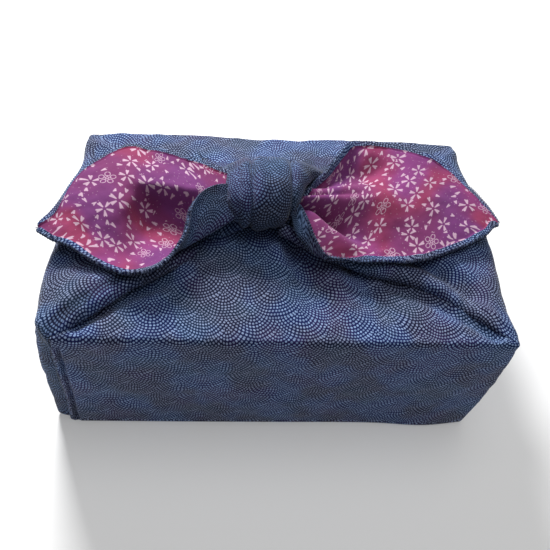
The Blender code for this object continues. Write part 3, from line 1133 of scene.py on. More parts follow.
    def roof_edge(self, side: Side) -> np.ndarray:
        """The rows that turn in from the shoulder to the roof's edge, as points.

        The edge is tight at the corners and full between them.
        """
        line, places = self.side_line(side, 1.0, 0.0)
        to_corner = np.minimum(places, places[-1] - places + places[0])
        from_corner = to_corner - self.corner_round
        tight = self.tight_share * self.corner_round
        full, reach = (self.edge_round, 0.006) if side.has_panel else (self.wing_round, 0.022)
        radius = tight + (full - tight) * ease(from_corner / reach)
        lift = 0.0 if side.has_panel else self.wing_step * ease(from_corner / self.step_run)
        low, high = HEIGHT - self.shoulder, HEIGHT + lift - radius
        rows = [np.column_stack([line, low + share * (high - low)]) for share in (0.4, 0.8)]
        for a in QUARTER:
            line, _ = self.side_line(side, 1.0, radius * (1 - math.cos(a)))
            rows.append(np.column_stack([line, high + radius * math.sin(a)]))
        return np.array(rows)

    def across(self, side: Side) -> np.ndarray:
        """Share of the way along a side's top of each column."""
        _, places = self.side_line(side, 1.0, 0.0)
        return (places - places[0]) / (places[-1] - places[0])

    def roof_flat(self, side: Side, grid: np.ndarray, edge_rows: int) -> tuple[np.ndarray, np.ndarray]:
        """Places on the flat cloth of a roof patch with its edge rows.

        Args:
            side: Which side it rises from.
            grid: Its points.
            edge_rows: How many of its rows turn in from the side.

        Returns:
            The places of the edge rows, and those of the roof from the last edge row on.
        """
        edge = np.stack([self.row_places(grid[:edge_rows]), lengths_along(grid[:edge_rows])], axis=-1)
        roof = grid[edge_rows - 1 :]
        along, inwards = (0, 1) if side.has_panel else (1, 0)
        middle = grid.shape[1] // 2
        turn = 1.0 if side in (Side.FRONT, Side.LEFT) else -1.0
        flat = np.empty(roof.shape[:2] + (2,))
        flat[..., 0] = self.row_places(roof[..., [along, 2]])
        flat[..., 0] += edge[-1, middle, 0] - flat[:, middle : middle + 1, 0]
        offset = turn * (roof[:1, :, inwards] - roof[0, middle, inwards])
        flat[..., 1] = edge[-1, middle, 1] + offset + lengths_along(roof[..., [inwards, 2]])
        return edge, flat

    def panel(self, side: Side) -> tuple[np.ndarray, np.ndarray, np.ndarray]:
        """The front or back of the roof, from the shoulder to where it ends under the knot.

        Args:
            side: Which side it rises from.

        Returns:
            Its points, and the flat places of its edge rows and of the rest.
        """
        edge = self.roof_edge(side)
        across = self.across(side)
        start, end, low, high = self.panel_ends[side]
        plan = np.array(start) + across[:, None] * (np.array(end) - np.array(start))
        last = np.column_stack([plan, low + (high - low) * (1 - (2 * across - 1) ** 2)])
        count = int(self.panel_run / self.step)
        steps = np.linspace(0.0, 1.0, count)[:, None]
        left, right = (edge[-1][c] + steps * (last[c] - edge[-1][c]) for c in (0, -1))
        roof = blend_patch(edge[-1], last, left, right, across)
        for fold in self.panel_folds:
            fold.press(roof)
        grid = np.concatenate([edge[:-1], roof])
        return grid, *self.roof_flat(side, grid, len(edge))

    def wing(self, side: Side) -> tuple[np.ndarray, np.ndarray, np.ndarray]:
        """A wing, from the shoulder to the knot that gathers it.

        Args:
            side: Which side it rises from.

        Returns:
            Its points, and the flat places of its edge rows and of the rest.
        """
        edge = self.roof_edge(side)
        across = self.across(side)
        names = ("right_front", "right_back") if side is Side.RIGHT else ("left_back", "left_front")
        count = int(self.wing_run / self.step)
        left = smooth_through(np.vstack([edge[-1][:1], self.ridges[names[0]]]), count)
        right = smooth_through(np.vstack([edge[-1][-1:], self.ridges[names[1]]]), count)
        last = left[-1] + across[:, None] * (right[-1] - left[-1])
        last[:, 2] += self.neck_rise * (1 - (2 * across - 1) ** 2) ** 0.8
        roof = blend_patch(edge[-1], last, left, right, across)
        for fold in self.wing_folds:
            fold.press(roof)
        share = np.linspace(0.0, 1.0, count)[:, None]
        gathers = 0.0010 * np.sin(across[None] * TURN * 4.5 + 0.6)
        roof[..., 2] += gathers * ease((share - 0.45) / 0.5)
        grid = np.concatenate([edge[:-1], roof])
        return grid, *self.roof_flat(side, grid, len(edge))

    def lip(
        self, side: Side, grid: np.ndarray, flat: np.ndarray, end: int
    ) -> tuple[np.ndarray, np.ndarray]:
        """The turned-down border of a wing, beyond one of its end columns.

        Args:
            side: Which side the wing rises from.
            grid: The wing's roof rows.
            flat: Their places on the flat cloth.
            end: 0 for the first column, -1 for the last.

        Returns:
            The border's points and flat places, with the wing's own end column next to it.
        """
        beside = 10 if end == 0 else -11
        ridge = grid[:, end]
        run = np.gradient(ridge, axis=0)
        away = np.column_stack([run[:, 1], -run[:, 0], np.zeros(len(run))])
        away /= np.linalg.norm(away, axis=1)[:, None]
        away *= np.sign(np.sum(away * (ridge - grid[:, beside]), axis=1))[:, None]
        size = (self.lip_round * np.minimum(1.0, 0.42 + 3.2 * np.linspace(0.0, 1.0, len(ridge))))[:, None]
        down = np.array([0.0, 0.0, -1.0])
        on_flat = np.column_stack([away[:, 1], -away[:, 0]]) * (1.0 if side is Side.RIGHT else -1.0)
        columns, places = [ridge], [flat[:, end]]
        for a in np.radians([15.0, 35.0, 55.0, 75.0, 95.0, 115.0, 135.0, 155.0]):
            columns.append(ridge + size * (math.sin(a) * away + (1 - math.cos(a)) * down))
            places.append(flat[:, end] + size * a * on_flat)
        points, flats = np.stack(columns, axis=1), np.stack(places, axis=1)
        return (points[:, ::-1], flats[:, ::-1]) if end == 0 else (points, flats)

    def build(self) -> bpy.types.Object:
        """Makes the wrapped cloth as one piece."""
        sheet = SheetBuilder()
        walls = {side: self.wall(side) for side in Side}
        for side in Side:
            shared = 0.5 * (walls[side][0][:, -1] + walls[side.next][0][:, 0])
            walls[side][0][:, -1] = shared
            walls[side.next][0][:, 0] = shared
        base: list[int] = []
        run = 0.0
        for side in Side:
            grid, flat = walls[side]
            offset = np.array([run, 0.0])
            gaps = np.arange(grid.shape[1] - 1)
            to_corner = np.minimum(gaps, gaps[-1] - gaps)
            # The left side's columns next to the front corner, in the tuck and on up over the wing's edge,
            # take material 4: painted shade.
            tucked = (side is Side.LEFT) & (gaps > gaps[-1] - self.tuck_columns)
            sides = tuple(np.where(tucked, 4, np.where(to_corner < self.corner_columns, 2, 0)))
            base += [int(n) for n in sheet.add_grid(grid, flat + offset, sides)[0][:-1]]
            roof, edge_flat, roof_flat = self.panel(side) if side.has_panel else self.wing(side)
            first, middle = len(edge_flat) - 1, grid.shape[1] // 2
            shift = flat[-1, middle] - edge_flat[0, middle]
            shift[1] += np.linalg.norm(roof[0, middle] - grid[-1, middle])
            edge_flat, roof_flat = edge_flat + shift, roof_flat + shift
            top = np.concatenate([grid[-1:], roof[: first + 1]])
            sheet.add_grid(top, np.concatenate([flat[-1:], edge_flat]) + offset, sides)
            sheet.add_grid(roof[first:], roof_flat + offset, sides)
            if not side.has_panel:
                for end in (0, -1):
                    border, border_flat = self.lip(side, roof[first:], roof_flat, end)
                    sheet.add_grid(border, border_flat + offset, (2,) * (border.shape[1] - 1))
            run += float(np.ptp(flat[0, :, 0]))
        outline = [sheet.points[n] for n in base]
        sheet.add_face(base[::-1], [(p[0], p[1]) for p in outline][::-1])
        dotted, blossom, shaded = self.finishes.dotted, self.finishes.blossom, self.finishes.gathered
        # Outer then inner face of the plain cloth, of the corners, and of the tuck, whose two faces are
        # painted shade.
        cloth = sheet.make("wrapped_cloth", [dotted, blossom, dotted, dotted, shaded, shaded])
        ruffle(cloth, depth=0.0011, size=0.034, floor=0.004, seed=3.1)
        ruffle(cloth, depth=0.0003, size=0.009, floor=0.004, seed=8.7)
        thicken(cloth, self.thickness, inner_side=1)
        cloth.data.transform(TO_FRAME)
        return cloth


# ---------------------------------------------------------------------------------------------
# The knot and the loose ends
# ---------------------------------------------------------------------------------------------


@dataclass(frozen=True)
class Pleat:
    """A crease (depth above zero) or a rib along the knot.

    Its x goes from `back` to `front`, and it begins at the share `start` of the way along.
    """

    back: float
    front: float
    depth: float
    width: float
    start: float = 0.0


@dataclass
class KnotBand:
    """The strand that comes up from the back, crosses over the knot and tucks under at the front."""

    finishes: Finishes
    thickness: float = 0.0011
    rows: int = 96
    columns: int = 130
    wrap: float = 96.0
    pleat_run: float = 0.16
    flat_start: tuple[float, float] = (0.310, 0.262)
    # y, z, left x, right x, how far the sides turn in: from the back, over the top, to under the front
    line: tuple[tuple[float, float, float, float, float], ...] = (
        (0.0680, 0.0905, -0.0520, 0.0440, 0.0002), (0.0590, 0.0925, -0.0490, 0.0420, 0.0006),
        (0.0500, 0.0950, -0.0450, 0.0390, 0.0014), (0.0420, 0.1000, -0.0400, 0.0330, 0.0030),
        (0.0355, 0.1085, -0.0365, 0.0285, 0.0060), (0.0285, 0.1185, -0.0348, 0.0225, 0.0085),
        (0.0205, 0.1262, -0.0338, 0.0168, 0.0100), (0.0085, 0.1300, -0.0332, 0.0112, 0.0108),
        (-0.0040, 0.1294, -0.0332, 0.0080, 0.0112), (-0.0128, 0.1243, -0.0330, 0.0066, 0.0112),
        (-0.0166, 0.1168, -0.0326, 0.0050, 0.0104), (-0.0164, 0.1090, -0.0318, 0.0032, 0.0085),
        (-0.0125, 0.1030, -0.0290, 0.0000, 0.0060),
    )
    pleats: tuple[Pleat, ...] = (
        Pleat(-0.0185, -0.0198, 0.0034, 0.0011, 0.26), Pleat(0.0038, 0.0010, 0.0030, 0.0010, 0.28),
        Pleat(-0.0110, -0.0090, 0.0010, 0.0020, 0.40), Pleat(-0.0270, -0.0262, 0.0012, 0.0014, 0.40),
        Pleat(-0.0225, -0.0240, -0.0008, 0.0022, 0.30), Pleat(-0.0150, -0.0160, -0.0008, 0.0024, 0.30),
    )

    def build(self) -> bpy.types.Object:
        """Makes the strand."""
        table = smooth_through(np.array(self.line), self.rows)
        middle = table[:, :2]
        run = np.gradient(middle, axis=0)
        run /= np.linalg.norm(run, axis=1)[:, None]
        outwards = np.column_stack([run[:, 1], -run[:, 0]])
        turn = np.radians(np.linspace(self.wrap, -self.wrap, self.columns))
        along = np.linspace(0.0, 1.0, self.rows)
        depth = table[:, 4:5] * (1 - np.cos(turn))[None]
        centre, half = (table[:, 2] + table[:, 3]) / 2, (table[:, 3] - table[:, 2]) / 2
        x = centre[:, None] + half[:, None] * np.sin(turn)[None]
        for pleat in self.pleats:
            line = pleat.back + (pleat.front - pleat.back) * along
            groove = np.exp(-np.abs(x - line[:, None]) / pleat.width) * (np.cos(turn) > 0)[None]
            depth = depth + pleat.depth * ease((along - pleat.start) / self.pleat_run)[:, None] * groove
        yz = middle[:, None] - depth[..., None] * outwards[:, None]
        grid = np.concatenate([x[..., None], yz], axis=-1)
        flat = np.empty(grid.shape[:2] + (2,))
        run_across = lengths_along(np.swapaxes(grid, 0, 1)).T
        half_way = self.columns // 2
        flat[..., 0] = self.flat_start[0] + run_across - run_across[:, half_way : half_way + 1]
        flat[..., 1] = self.flat_start[1] - lengths_along(middle)[:, None]
        sheet = SheetBuilder()
        sheet.add_grid(grid, flat)
        # The whole band takes the darker copy of the dotted cotton as painted shade.
        band = sheet.make("knot_band", [self.finishes.gathered])
        ruffle(band, depth=0.0006, size=0.012, floor=0.094, seed=5.4)
        thicken(band, self.thickness, inner_side=0)
        band.data.transform(TO_FRAME)
        return band


Cut = tuple[tuple[float, float, float], ...]  # a section of a loose end from back to front, in millimetres


class EndSide(Enum):
    """Which way a loose end lies from the knot."""

    LEFT = -1
    RIGHT = 1


@dataclass
class LooseEnd:
    """A free corner of the cloth beyond the knot: a cupped leaf with a turned hem round its edge.

    Its upper side is the cloth's inner face, and its underside the outer face in painted shade. The hem
    shows the outer face on both sides.
    The cuts are its sections from the knot to the tip, and the knot holds its first rows.
    """

    finishes: Finishes
    side: EndSide
    hem: float
    flat_tip: tuple[float, float]
    cuts: tuple[Cut, ...]
    folds: tuple[Fold, ...]
    thickness: float = 0.0010
    hem_rise: float = 0.0006
    hem_columns: int = 5
    rows: int = 150
    columns: int = 76
    waver: float = 0.0007
    least_run: float = 0.70
    most_hem: float = 0.40
    held_rows: int = 18
    edge: tuple[np.ndarray, np.ndarray, np.ndarray] | None = field(default=None, init=False)

    @property
    def name(self) -> str:
        """Its name in plain words."""
        return f"{self.side.name.lower()}_end"

    def surface(self) -> np.ndarray:
        """The middle of the cloth, as rows from the knot to the tip and columns from back to front."""
        fine = np.array([smooth_through(np.array(cut) * MM, self.columns * 2) for cut in self.cuts])
        leaf = smooth_through(fine, self.rows)
        for fold in self.folds:
            fold.press(leaf)
        shift = Vector((2.1, 7.7, 0.3 * self.side.value))
        waves = [noise.fractal(Vector(p / 0.013) + shift, 0.8, 2.0, 3) for p in leaf.reshape(-1, 3)]
        free = ease((lengths_along(leaf[:, leaf.shape[1] // 2]) - 0.012) / 0.03)
        leaf[..., 2] += np.array(waves).reshape(leaf.shape[:2]) * self.waver * free[:, None]
        return leaf

    def hem_lengths(self, leaf: np.ndarray, column: int) -> np.ndarray:
        """How far the hem reaches along each row, so that it is evenly wide square to the edge.

        Args:
            leaf: The middle of the cloth.
            column: The edge's column, 0 or -1.

        Returns:
            One length for each row.
        """
        edge = np.gradient(leaf[:, column], axis=0)
        inwards = leaf[:, 3 if column == 0 else -4] - leaf[:, column]
        edge /= np.linalg.norm(edge, axis=1)[:, None]
        inwards /= np.linalg.norm(inwards, axis=1)[:, None]
        square = np.linalg.norm(np.cross(edge, inwards), axis=1)
        reach = self.hem / np.maximum(square, 0.30)
        kernel = np.ones(7) / 7
        return np.convolve(np.pad(reach, 3, mode="edge"), kernel, mode="valid")

    def resample(self, leaf: np.ndarray) -> tuple[np.ndarray, np.ndarray, np.ndarray]:
        """Reads every row anew, with columns on the hem's lines.

        Args:
            leaf: The middle of the cloth.

        Returns:
            The new points, their distances along the rows from the middle, and each column's rise.
        """
        back, front = self.hem_lengths(leaf, 0), self.hem_lengths(leaf, -1)
        steps = np.array([0.0, 0.05, 0.16, 0.50, 0.80, 0.93, 1.04, 1.22])  # of the hem's width
        half, full = self.thickness / 2, self.thickness / 2 + self.hem_rise
        rises = np.array([0.12 * full, 0.60 * full, full, full, full, full, half, half])
        inner = self.columns - 2 * len(steps)
        points, places = [], []
        for row, near, far in zip(leaf, back, front):
            length = lengths_along(row)
            most = length[-1] * self.most_hem
            near, far = min(near, most), min(far, most)
            first, last = steps * near, length[-1] - (steps * far)[::-1]
            middle = np.linspace(first[-1], last[0], inner + 2)[1:-1]
            wanted = np.concatenate([first, middle, last])
            points.append(np.column_stack([np.interp(wanted, length, row[:, k]) for k in range(3)]))
            places.append(wanted - length[-1] / 2)
        rise = np.concatenate([rises, np.full(inner, half), rises[::-1]])
        return np.array(points), np.array(places), rise

    def build(self) -> bpy.types.Object:
        """Makes the leaf as one closed piece."""
        points, places, rise = self.resample(self.surface())
        facing = grid_normals(points) * self.side.value
        under = np.minimum(rise, self.thickness / 2)
        upper = points + facing * rise[None, :, None]
        lower = points - facing * under[None, :, None]
        ring = np.concatenate([upper, lower[:, ::-1], upper[:, :1]], axis=1)
        across = np.concatenate([places, places[:, ::-1], places[:, :1]], axis=1)
        from_tip = lengths_along(points[::-1])[::-1]
        from_tip = np.concatenate([from_tip, from_tip[:, ::-1], from_tip[:, :1]], axis=1)
        along = -np.sqrt(np.maximum(from_tip**2 - across**2, (self.least_run * from_tip) ** 2))
        turned, count = self.hem_columns, points.shape[1]
        flat = np.empty(ring.shape[:2] + (2,))
        diagonal = math.sqrt(0.5)
        flat[..., 0] = self.flat_tip[0] + (along + across) * diagonal
        flat[..., 1] = self.flat_tip[1] + (along - across) * diagonal
        on_top = [2] * turned + [1] * (count - 1 - 2 * turned) + [2] * turned
        sides = on_top + [0] * (count + 1)
        if self.side is EndSide.LEFT:
            ring, flat, sides = ring[:, ::-1], flat[:, ::-1], sides[::-1]
        sheet = SheetBuilder()
        numbers = sheet.add_grid(ring, flat, tuple(sides))
        sheet.add_face([int(n) for n in numbers[0][:-1]][::-1], [tuple(p) for p in flat[0][:-1]][::-1])
        sheet.add_face([int(n) for n in numbers[-1][:-1]], [tuple(p) for p in flat[-1][:-1]])
        # The underside takes the darker copy of the dotted cotton as painted shade; the hem keeps the plain
        # dotted cotton.
        end = sheet.make(self.name, [self.finishes.gathered, self.finishes.blossom, self.finishes.dotted])
        end.data.transform(TO_FRAME)
        self.edge = self.edge_line(points, facing)
        return end

    def edge_line(
        self, points: np.ndarray, facing: np.ndarray
    ) -> tuple[np.ndarray, np.ndarray, np.ndarray]:
        """The line round the free edge, from the knot along the back to the tip and back along the front.

        Args:
            points: The middle of the cloth.
            facing: Its normals.

        Returns:
            The line's points, the directions inwards over the cloth and the directions it faces.
        """
        free, facing = points[self.held_rows :], facing[self.held_rows :]
        beside = self.hem_columns + 1
        line = np.concatenate([free[:, 0], free[::-1, -1]])
        into = np.concatenate([free[:, beside], free[::-1, -1 - beside]]) - line
        up = np.concatenate([facing[:, 0], facing[::-1, -1]])
        return line - MIDDLE, into / np.linalg.norm(into, axis=1)[:, None], up


# ---------------------------------------------------------------------------------------------
# The overlock stitches
# ---------------------------------------------------------------------------------------------


class GeometryTree:
    """A Geometry Nodes tree with named inputs."""

    def __init__(self, name: str, inputs: dict[str, float]) -> None:
        """Makes the tree with a geometry input, a geometry output and one number input for each name."""
        self.tree = bpy.data.node_groups.new(name, "GeometryNodeTree")
        face = self.tree.interface
        face.new_socket("Geometry", in_out="INPUT", socket_type="NodeSocketGeometry")
        face.new_socket("Geometry", in_out="OUTPUT", socket_type="NodeSocketGeometry")
        self.identifiers = {}
        for title, value in inputs.items():
            socket = face.new_socket(title, in_out="INPUT", socket_type="NodeSocketFloat")
            socket.default_value = value
            self.identifiers[title] = socket.identifier
        self.given = self.tree.nodes.new("NodeGroupInput").outputs
        self.result = self.tree.nodes.new("NodeGroupOutput").inputs

    def node(
        self, kind: str, settings: dict[str, object], sockets: dict[str | int, object]
    ) -> bpy.types.Node:
        """Adds a node.

        Args:
            kind: Blender's name for the node type.
            settings: Its properties.
            sockets: Values or links of its input sockets by name or number; a node stands for
                its first output.

        Returns:
            The node.
        """
        made = self.tree.nodes.new(kind)
        for key, value in settings.items():
            setattr(made, key, value)
        for key, value in sockets.items():
            if isinstance(value, bpy.types.Node):
                value = value.outputs[0]
            if isinstance(value, bpy.types.NodeSocket):
                self.tree.links.new(value, made.inputs[key])
            else:
                made.inputs[key].default_value = value
        return made

    def run(self, obj: bpy.types.Object, values: dict[str, float]) -> None:
        """Runs the tree on an object and keeps the result as its mesh."""
        modifier = obj.modifiers.new(self.tree.name, "NODES")
        modifier.node_group = self.tree
        for title, value in values.items():
            modifier[self.identifiers[title]] = value
        apply_modifiers(obj)


@dataclass
class HemStitches:
    """A row of thread loops that bind the edge of a loose end."""

    finishes: Finishes
    spacing: float = 0.0017
    reach: float = 0.0017
    lift: float = 0.0023
    thread: float = 0.00019
    slant: float = 0.35
    sides: int = 14
    thread_sides: int = 6
    seed: int = 11

    def sizes(self) -> dict[str, float]:
        """The tree's inputs by name."""
        return {
            "Spacing": self.spacing,
            "Reach": self.reach,
            "Lift": self.lift,
            "Thread": self.thread,
            "Slant": self.slant,
        }

    def stitch(self, made: GeometryTree) -> bpy.types.Node:
        """One loop of thread round the hem's edge.

        Args:
            made: The tree it is made in.

        Returns:
            The node that gives the loop.
        """
        node, given = made.node, made.given
        ring = node("GeometryNodeCurvePrimitiveCircle", {}, {"Resolution": self.sides, "Radius": 1.0})
        size = node("ShaderNodeCombineXYZ", {}, {"X": given["Reach"], "Y": given["Lift"], "Z": 1.0})
        half = node("ShaderNodeVectorMath", {"operation": "SCALE"}, {"Vector": size, "Scale": 0.5})
        shift = node("ShaderNodeVectorMath", {"operation": "MULTIPLY"}, {0: half, 1: (0.86, 0.15, 0.0)})
        loop = node(
            "GeometryNodeTransform", {}, {"Geometry": ring, "Scale": half, "Translation": shift}
        )
        profile = node(
            "GeometryNodeCurvePrimitiveCircle",
            {},
            {"Resolution": self.thread_sides, "Radius": given["Thread"]},
        )
        return node("GeometryNodeCurveToMesh", {}, {"Curve": loop, "Profile Curve": profile})

    def aim(self, made: GeometryTree) -> bpy.types.Node:
        """How each loop is turned: into the cloth, upright on it, and leaning a little unevenly.

        Args:
            made: The tree it is made in.

        Returns:
            The node that gives the rotation.
        """
        node = made.node
        into, up = (
            node("GeometryNodeInputNamedAttribute", {"data_type": "FLOAT_VECTOR"}, {"Name": name})
            for name in ("inwards", "facing")
        )
        square = node(
            "FunctionNodeAxesToRotation",
            {"primary_axis": "X", "secondary_axis": "Y"},
            {"Primary Axis": into, "Secondary Axis": up},
        )
        uneven = node(
            "FunctionNodeRandomValue", {"data_type": "FLOAT"}, {2: 0.7, 3: 1.3, "Seed": self.seed}
        )
        lean = node(
            "ShaderNodeMath", {"operation": "MULTIPLY"}, {0: uneven.outputs[1], 1: made.given["Slant"]}
        )
        tip = node("ShaderNodeCombineXYZ", {}, {"Y": lean})
        tilt = node("FunctionNodeEulerToRotation", {}, {"Euler": tip})
        return node(
            "FunctionNodeRotateRotation",
            {"rotation_space": "LOCAL"},
            {"Rotation": square, "Rotate By": tilt},
        )

    def tree(self) -> GeometryTree:
        """The tree that sets one loop at every step of a line."""
        made = GeometryTree("hem_stitch_row", self.sizes())
        node, given = made.node, made.given
        line = node("GeometryNodeMeshToCurve", {}, {"Mesh": given["Geometry"]})
        steps = node(
            "GeometryNodeResampleCurve", {"mode": "LENGTH"}, {"Curve": line, "Length": given["Spacing"]}
        )
        placed = node(
            "GeometryNodeInstanceOnPoints",
            {},
            {"Points": steps, "Instance": self.stitch(made), "Rotation": self.aim(made)},
        )
        real = node("GeometryNodeRealizeInstances", {}, {"Geometry": placed})
        smooth = node("GeometryNodeSetShadeSmooth", {}, {"Geometry": real})
        dyed = node(
            "GeometryNodeSetMaterial", {}, {"Geometry": smooth, "Material": self.finishes.thread}
        )
        made.tree.links.new(dyed.outputs[0], made.result["Geometry"])
        return made

    def build(self, end: LooseEnd) -> bpy.types.Object:
        """Makes the stitches of one loose end.

        Args:
            end: The loose end, already built.

        Returns:
            All its stitches as one piece.
        """
        line, into, up = end.edge
        mesh = bpy.data.meshes.new(f"{end.name}_stitches")
        mesh.from_pydata(line.tolist(), [(k, k + 1) for k in range(len(line) - 1)], [])
        for name, values in (("inwards", into), ("facing", up)):
            layer = mesh.attributes.new(name, "FLOAT_VECTOR", "POINT")
            layer.data.foreach_set("vector", values.astype(np.float32).ravel())
        obj = bpy.data.objects.new(mesh.name, mesh)
        bpy.context.scene.collection.objects.link(obj)
        self.tree().run(obj, self.sizes())
        return obj


# ---------------------------------------------------------------------------------------------
# The studio
# ---------------------------------------------------------------------------------------------


@dataclass
class Studio:
    """A pale floor, soft light from above and behind, and the camera."""

    floor_shade: float = 0.80
    floor_glow: float = 0.22
    floor_reach: float = 6.0
    world_light: float = 0.14
    aim: tuple[float, float, float] = (0.0, 0.0, 0.06)
    camera_place: tuple[float, float, float] = (-0.0385, -0.2462, 0.3568)
    camera_turn: tuple[float, float, float] = (38.624, -5.6006, -2.7366)
    lens: float = 41.63

    def build(self) -> None:
        """Makes them all."""
        self.make_floor()
        self.make_light("key_light", (-0.30, 0.84, 0.82), 0.32, 21.0)
        self.make_light("top_light", (0.25, 0.10, 1.35), 0.90, 6.0)
        world = bpy.data.worlds.new("studio_air")
        bpy.context.scene.world = world
        world.use_nodes = True
        air = world.node_tree.nodes["Background"]
        air.inputs["Color"].default_value = (1.0, 1.0, 1.0, 1.0)
        air.inputs["Strength"].default_value = self.world_light
        camera = bpy.data.cameras.new("camera")
        camera.lens = self.lens
        holder = bpy.data.objects.new("camera", camera)
        holder.location = self.camera_place
        holder.rotation_euler = [math.radians(angle) for angle in self.camera_turn]
        bpy.context.scene.collection.objects.link(holder)
        bpy.context.scene.camera = holder
        bpy.context.scene.view_settings.view_transform = "Standard"

    def make_floor(self) -> None:
        """A wide pale floor under the parcel."""
        mesh = bpy.data.meshes.new("floor")
        low, high = -self.floor_reach, self.floor_reach
        corners = [(low, low, 0.0), (high, low, 0.0), (high, high, 0.0), (low, high, 0.0)]
        mesh.from_pydata(corners, [], [(0, 1, 2, 3)])
        material = bpy.data.materials.new("pale_floor")
        material.use_nodes = True
        shader = material.node_tree.nodes["Principled BSDF"]
        shader.inputs["Base Color"].default_value = (*[self.floor_shade] * 3, 1.0)
        shader.inputs["Roughness"].default_value = 0.9
        shader.inputs["Emission Color"].default_value = (1.0, 1.0, 1.0, 1.0)
        shader.inputs["Emission Strength"].default_value = self.floor_glow
        mesh.materials.append(material)
        floor = bpy.data.objects.new("floor", mesh)
        bpy.context.scene.collection.objects.link(floor)

    def make_light(self, name: str, place: tuple[float, float, float], size: float, power: float) -> None:
        """A square soft light that looks at the parcel.

        Args:
            name: Its name.
            place: Where it hangs.
            size: Its side.
            power: Its power in watts.
        """
        light = bpy.data.lights.new(name, "AREA")
        light.shape = "SQUARE"
        light.size = size
        light.energy = power
        holder = bpy.data.objects.new(name, light)
        holder.location = place
        looks = Vector(self.aim) - Vector(place)
        holder.rotation_euler = looks.to_track_quat("-Z", "Y").to_euler()
        bpy.context.scene.collection.objects.link(holder)


# ---------------------------------------------------------------------------------------------
# The object
# ---------------------------------------------------------------------------------------------


def left_end(finishes: Finishes) -> LooseEnd:
    """The loose end on the left, a wide cup whose front edge leans back over it near the knot."""
    return LooseEnd(
        finishes,
        EndSide.LEFT,
        hem=0.0032,
        flat_tip=(0.161, 0.119),
        cuts=(
            (
                (-20, 8, 122), (-20, 6, 120), (-20, 4, 118), (-20, 2, 117), (-20, 0, 116),
                (-20, -3, 115.5), (-20, -6, 115), (-20, -8, 116.5), (-20, -4, 121.5),
            ),
            (
                (-32.6, 14.5, 121.3), (-33, 8, 119.8), (-33.3, 1, 118.2), (-33.5, -3, 114),
                (-34, -6, 111.5), (-34, -10, 109.5), (-34, -13.5, 109.5), (-33.5, -15.5, 112),
                (-32.7, 1.5, 123),
            ),
            (
                (-40, 20, 119.5), (-41, 11, 118.2), (-42, 1, 116.8), (-42.5, -4.5, 111),
                (-43, -9, 107), (-44, -14, 105), (-44, -18.5, 105.5), (-44, -21.5, 109.5),
                (-43.7, -1.7, 121.8),
            ),
            (
                (-47, 25, 117.8), (-48, 15, 117.2), (-49, 1.5, 116.2), (-50, -5, 107),
                (-50.5, -10, 102.4), (-51, -16, 101.4), (-51, -22, 103.2), (-51, -26, 107.5),
                (-50.7, -10.8, 118.8),
            ),
            (
                (-55, 29.5, 116.2), (-55.5, 18.5, 116), (-55.5, 3.5, 115.7), (-56, -3.5, 105),
                (-56, -9.5, 100.2), (-56, -16.5, 99.4), (-55.5, -24.5, 101.4),
                (-55, -29.5, 106.5), (-54.1, -27, 113.2),
            ),
            (
                (-64, 34.5, 114.8), (-65, 22, 115.4), (-66, 6.5, 115.2), (-66, -0.5, 104.5),
                (-66, -7.5, 99.4), (-66, -17, 98.8), (-65.5, -28, 101), (-64, -36, 104.8),
                (-62.7, -40.5, 108.4),
            ),
            (
                (-76.2, 39.4, 113), (-77, 26, 114), (-77.5, 10, 114.4), (-76.5, 2, 105.5),
                (-76, -7, 99.6), (-75.5, -19, 98.8), (-75, -31, 100.6), (-73.5, -40, 103.4),
                (-72, -46, 105.8),
            ),
            (
                (-89.7, 42.8, 110.5), (-90, 28, 112.4), (-89.5, 12, 113.2), (-88.5, 0, 112),
                (-88, -10, 109), (-87.5, -20, 105), (-87, -30, 102.4), (-85.5, -39, 102.4),
                (-84, -45.5, 104.2),
            ),
            (
                (-104.2, 34.2, 108), (-104.8, 24, 109), (-104.8, 11, 109), (-104, 0, 108.2),
                (-103, -11, 106.4), (-102, -21, 103.4), (-101, -28, 102.2), (-100, -33, 102),
                (-98.5, -38, 102.8),
            ),
            (
                (-115, 23.2, 105), (-115.5, 16, 106), (-115.5, 8, 106.2), (-115.2, 0, 105.8),
                (-114.8, -7, 104.8), (-114.3, -14, 103.4), (-113.8, -19, 102.4),
                (-113.4, -23, 101.8), (-113, -26.8, 101.6),
            ),
            (
                (-122.6, 2.5, 103.2), (-122.8, -1, 103.6), (-122.9, -4.5, 103.6),
                (-123, -8, 103.2), (-123, -11.5, 102.6), (-123, -15, 102), (-122.9, -18, 101.5),
                (-122.7, -20.5, 101.2), (-122.5, -22.5, 101),
            ),
            (
                (-130.6, -12, 102.2), (-130.6, -12.6, 102.2), (-130.6, -13.2, 102.1),
                (-130.6, -13.8, 102), (-130.6, -14.4, 101.8), (-130.6, -15, 101.6),
                (-130.6, -15.6, 101.3), (-130.6, -16.2, 101.1), (-130.6, -16.8, 100.9),
            ),
        ),
        folds=(
            Fold(
                ((-0.0505, 0.0020), (-0.0640, 0.0055), (-0.0790, 0.0085), (-0.0860, -0.0070)),
                0.0014, 0.0024, 0.4,
            ),
            Fold(((-0.0750, 0.0000), (-0.0790, -0.0140), (-0.0800, -0.0280)), -0.0022, 0.0060, 0.5),
            Fold(((-0.1180, -0.0060), (-0.1000, -0.0200), (-0.0860, -0.0300)), -0.0010, 0.0050, 0.0, 0.5),
            Fold(((-0.0560, 0.0200), (-0.0760, 0.0300)), -0.0010, 0.0045),
        ),
    )


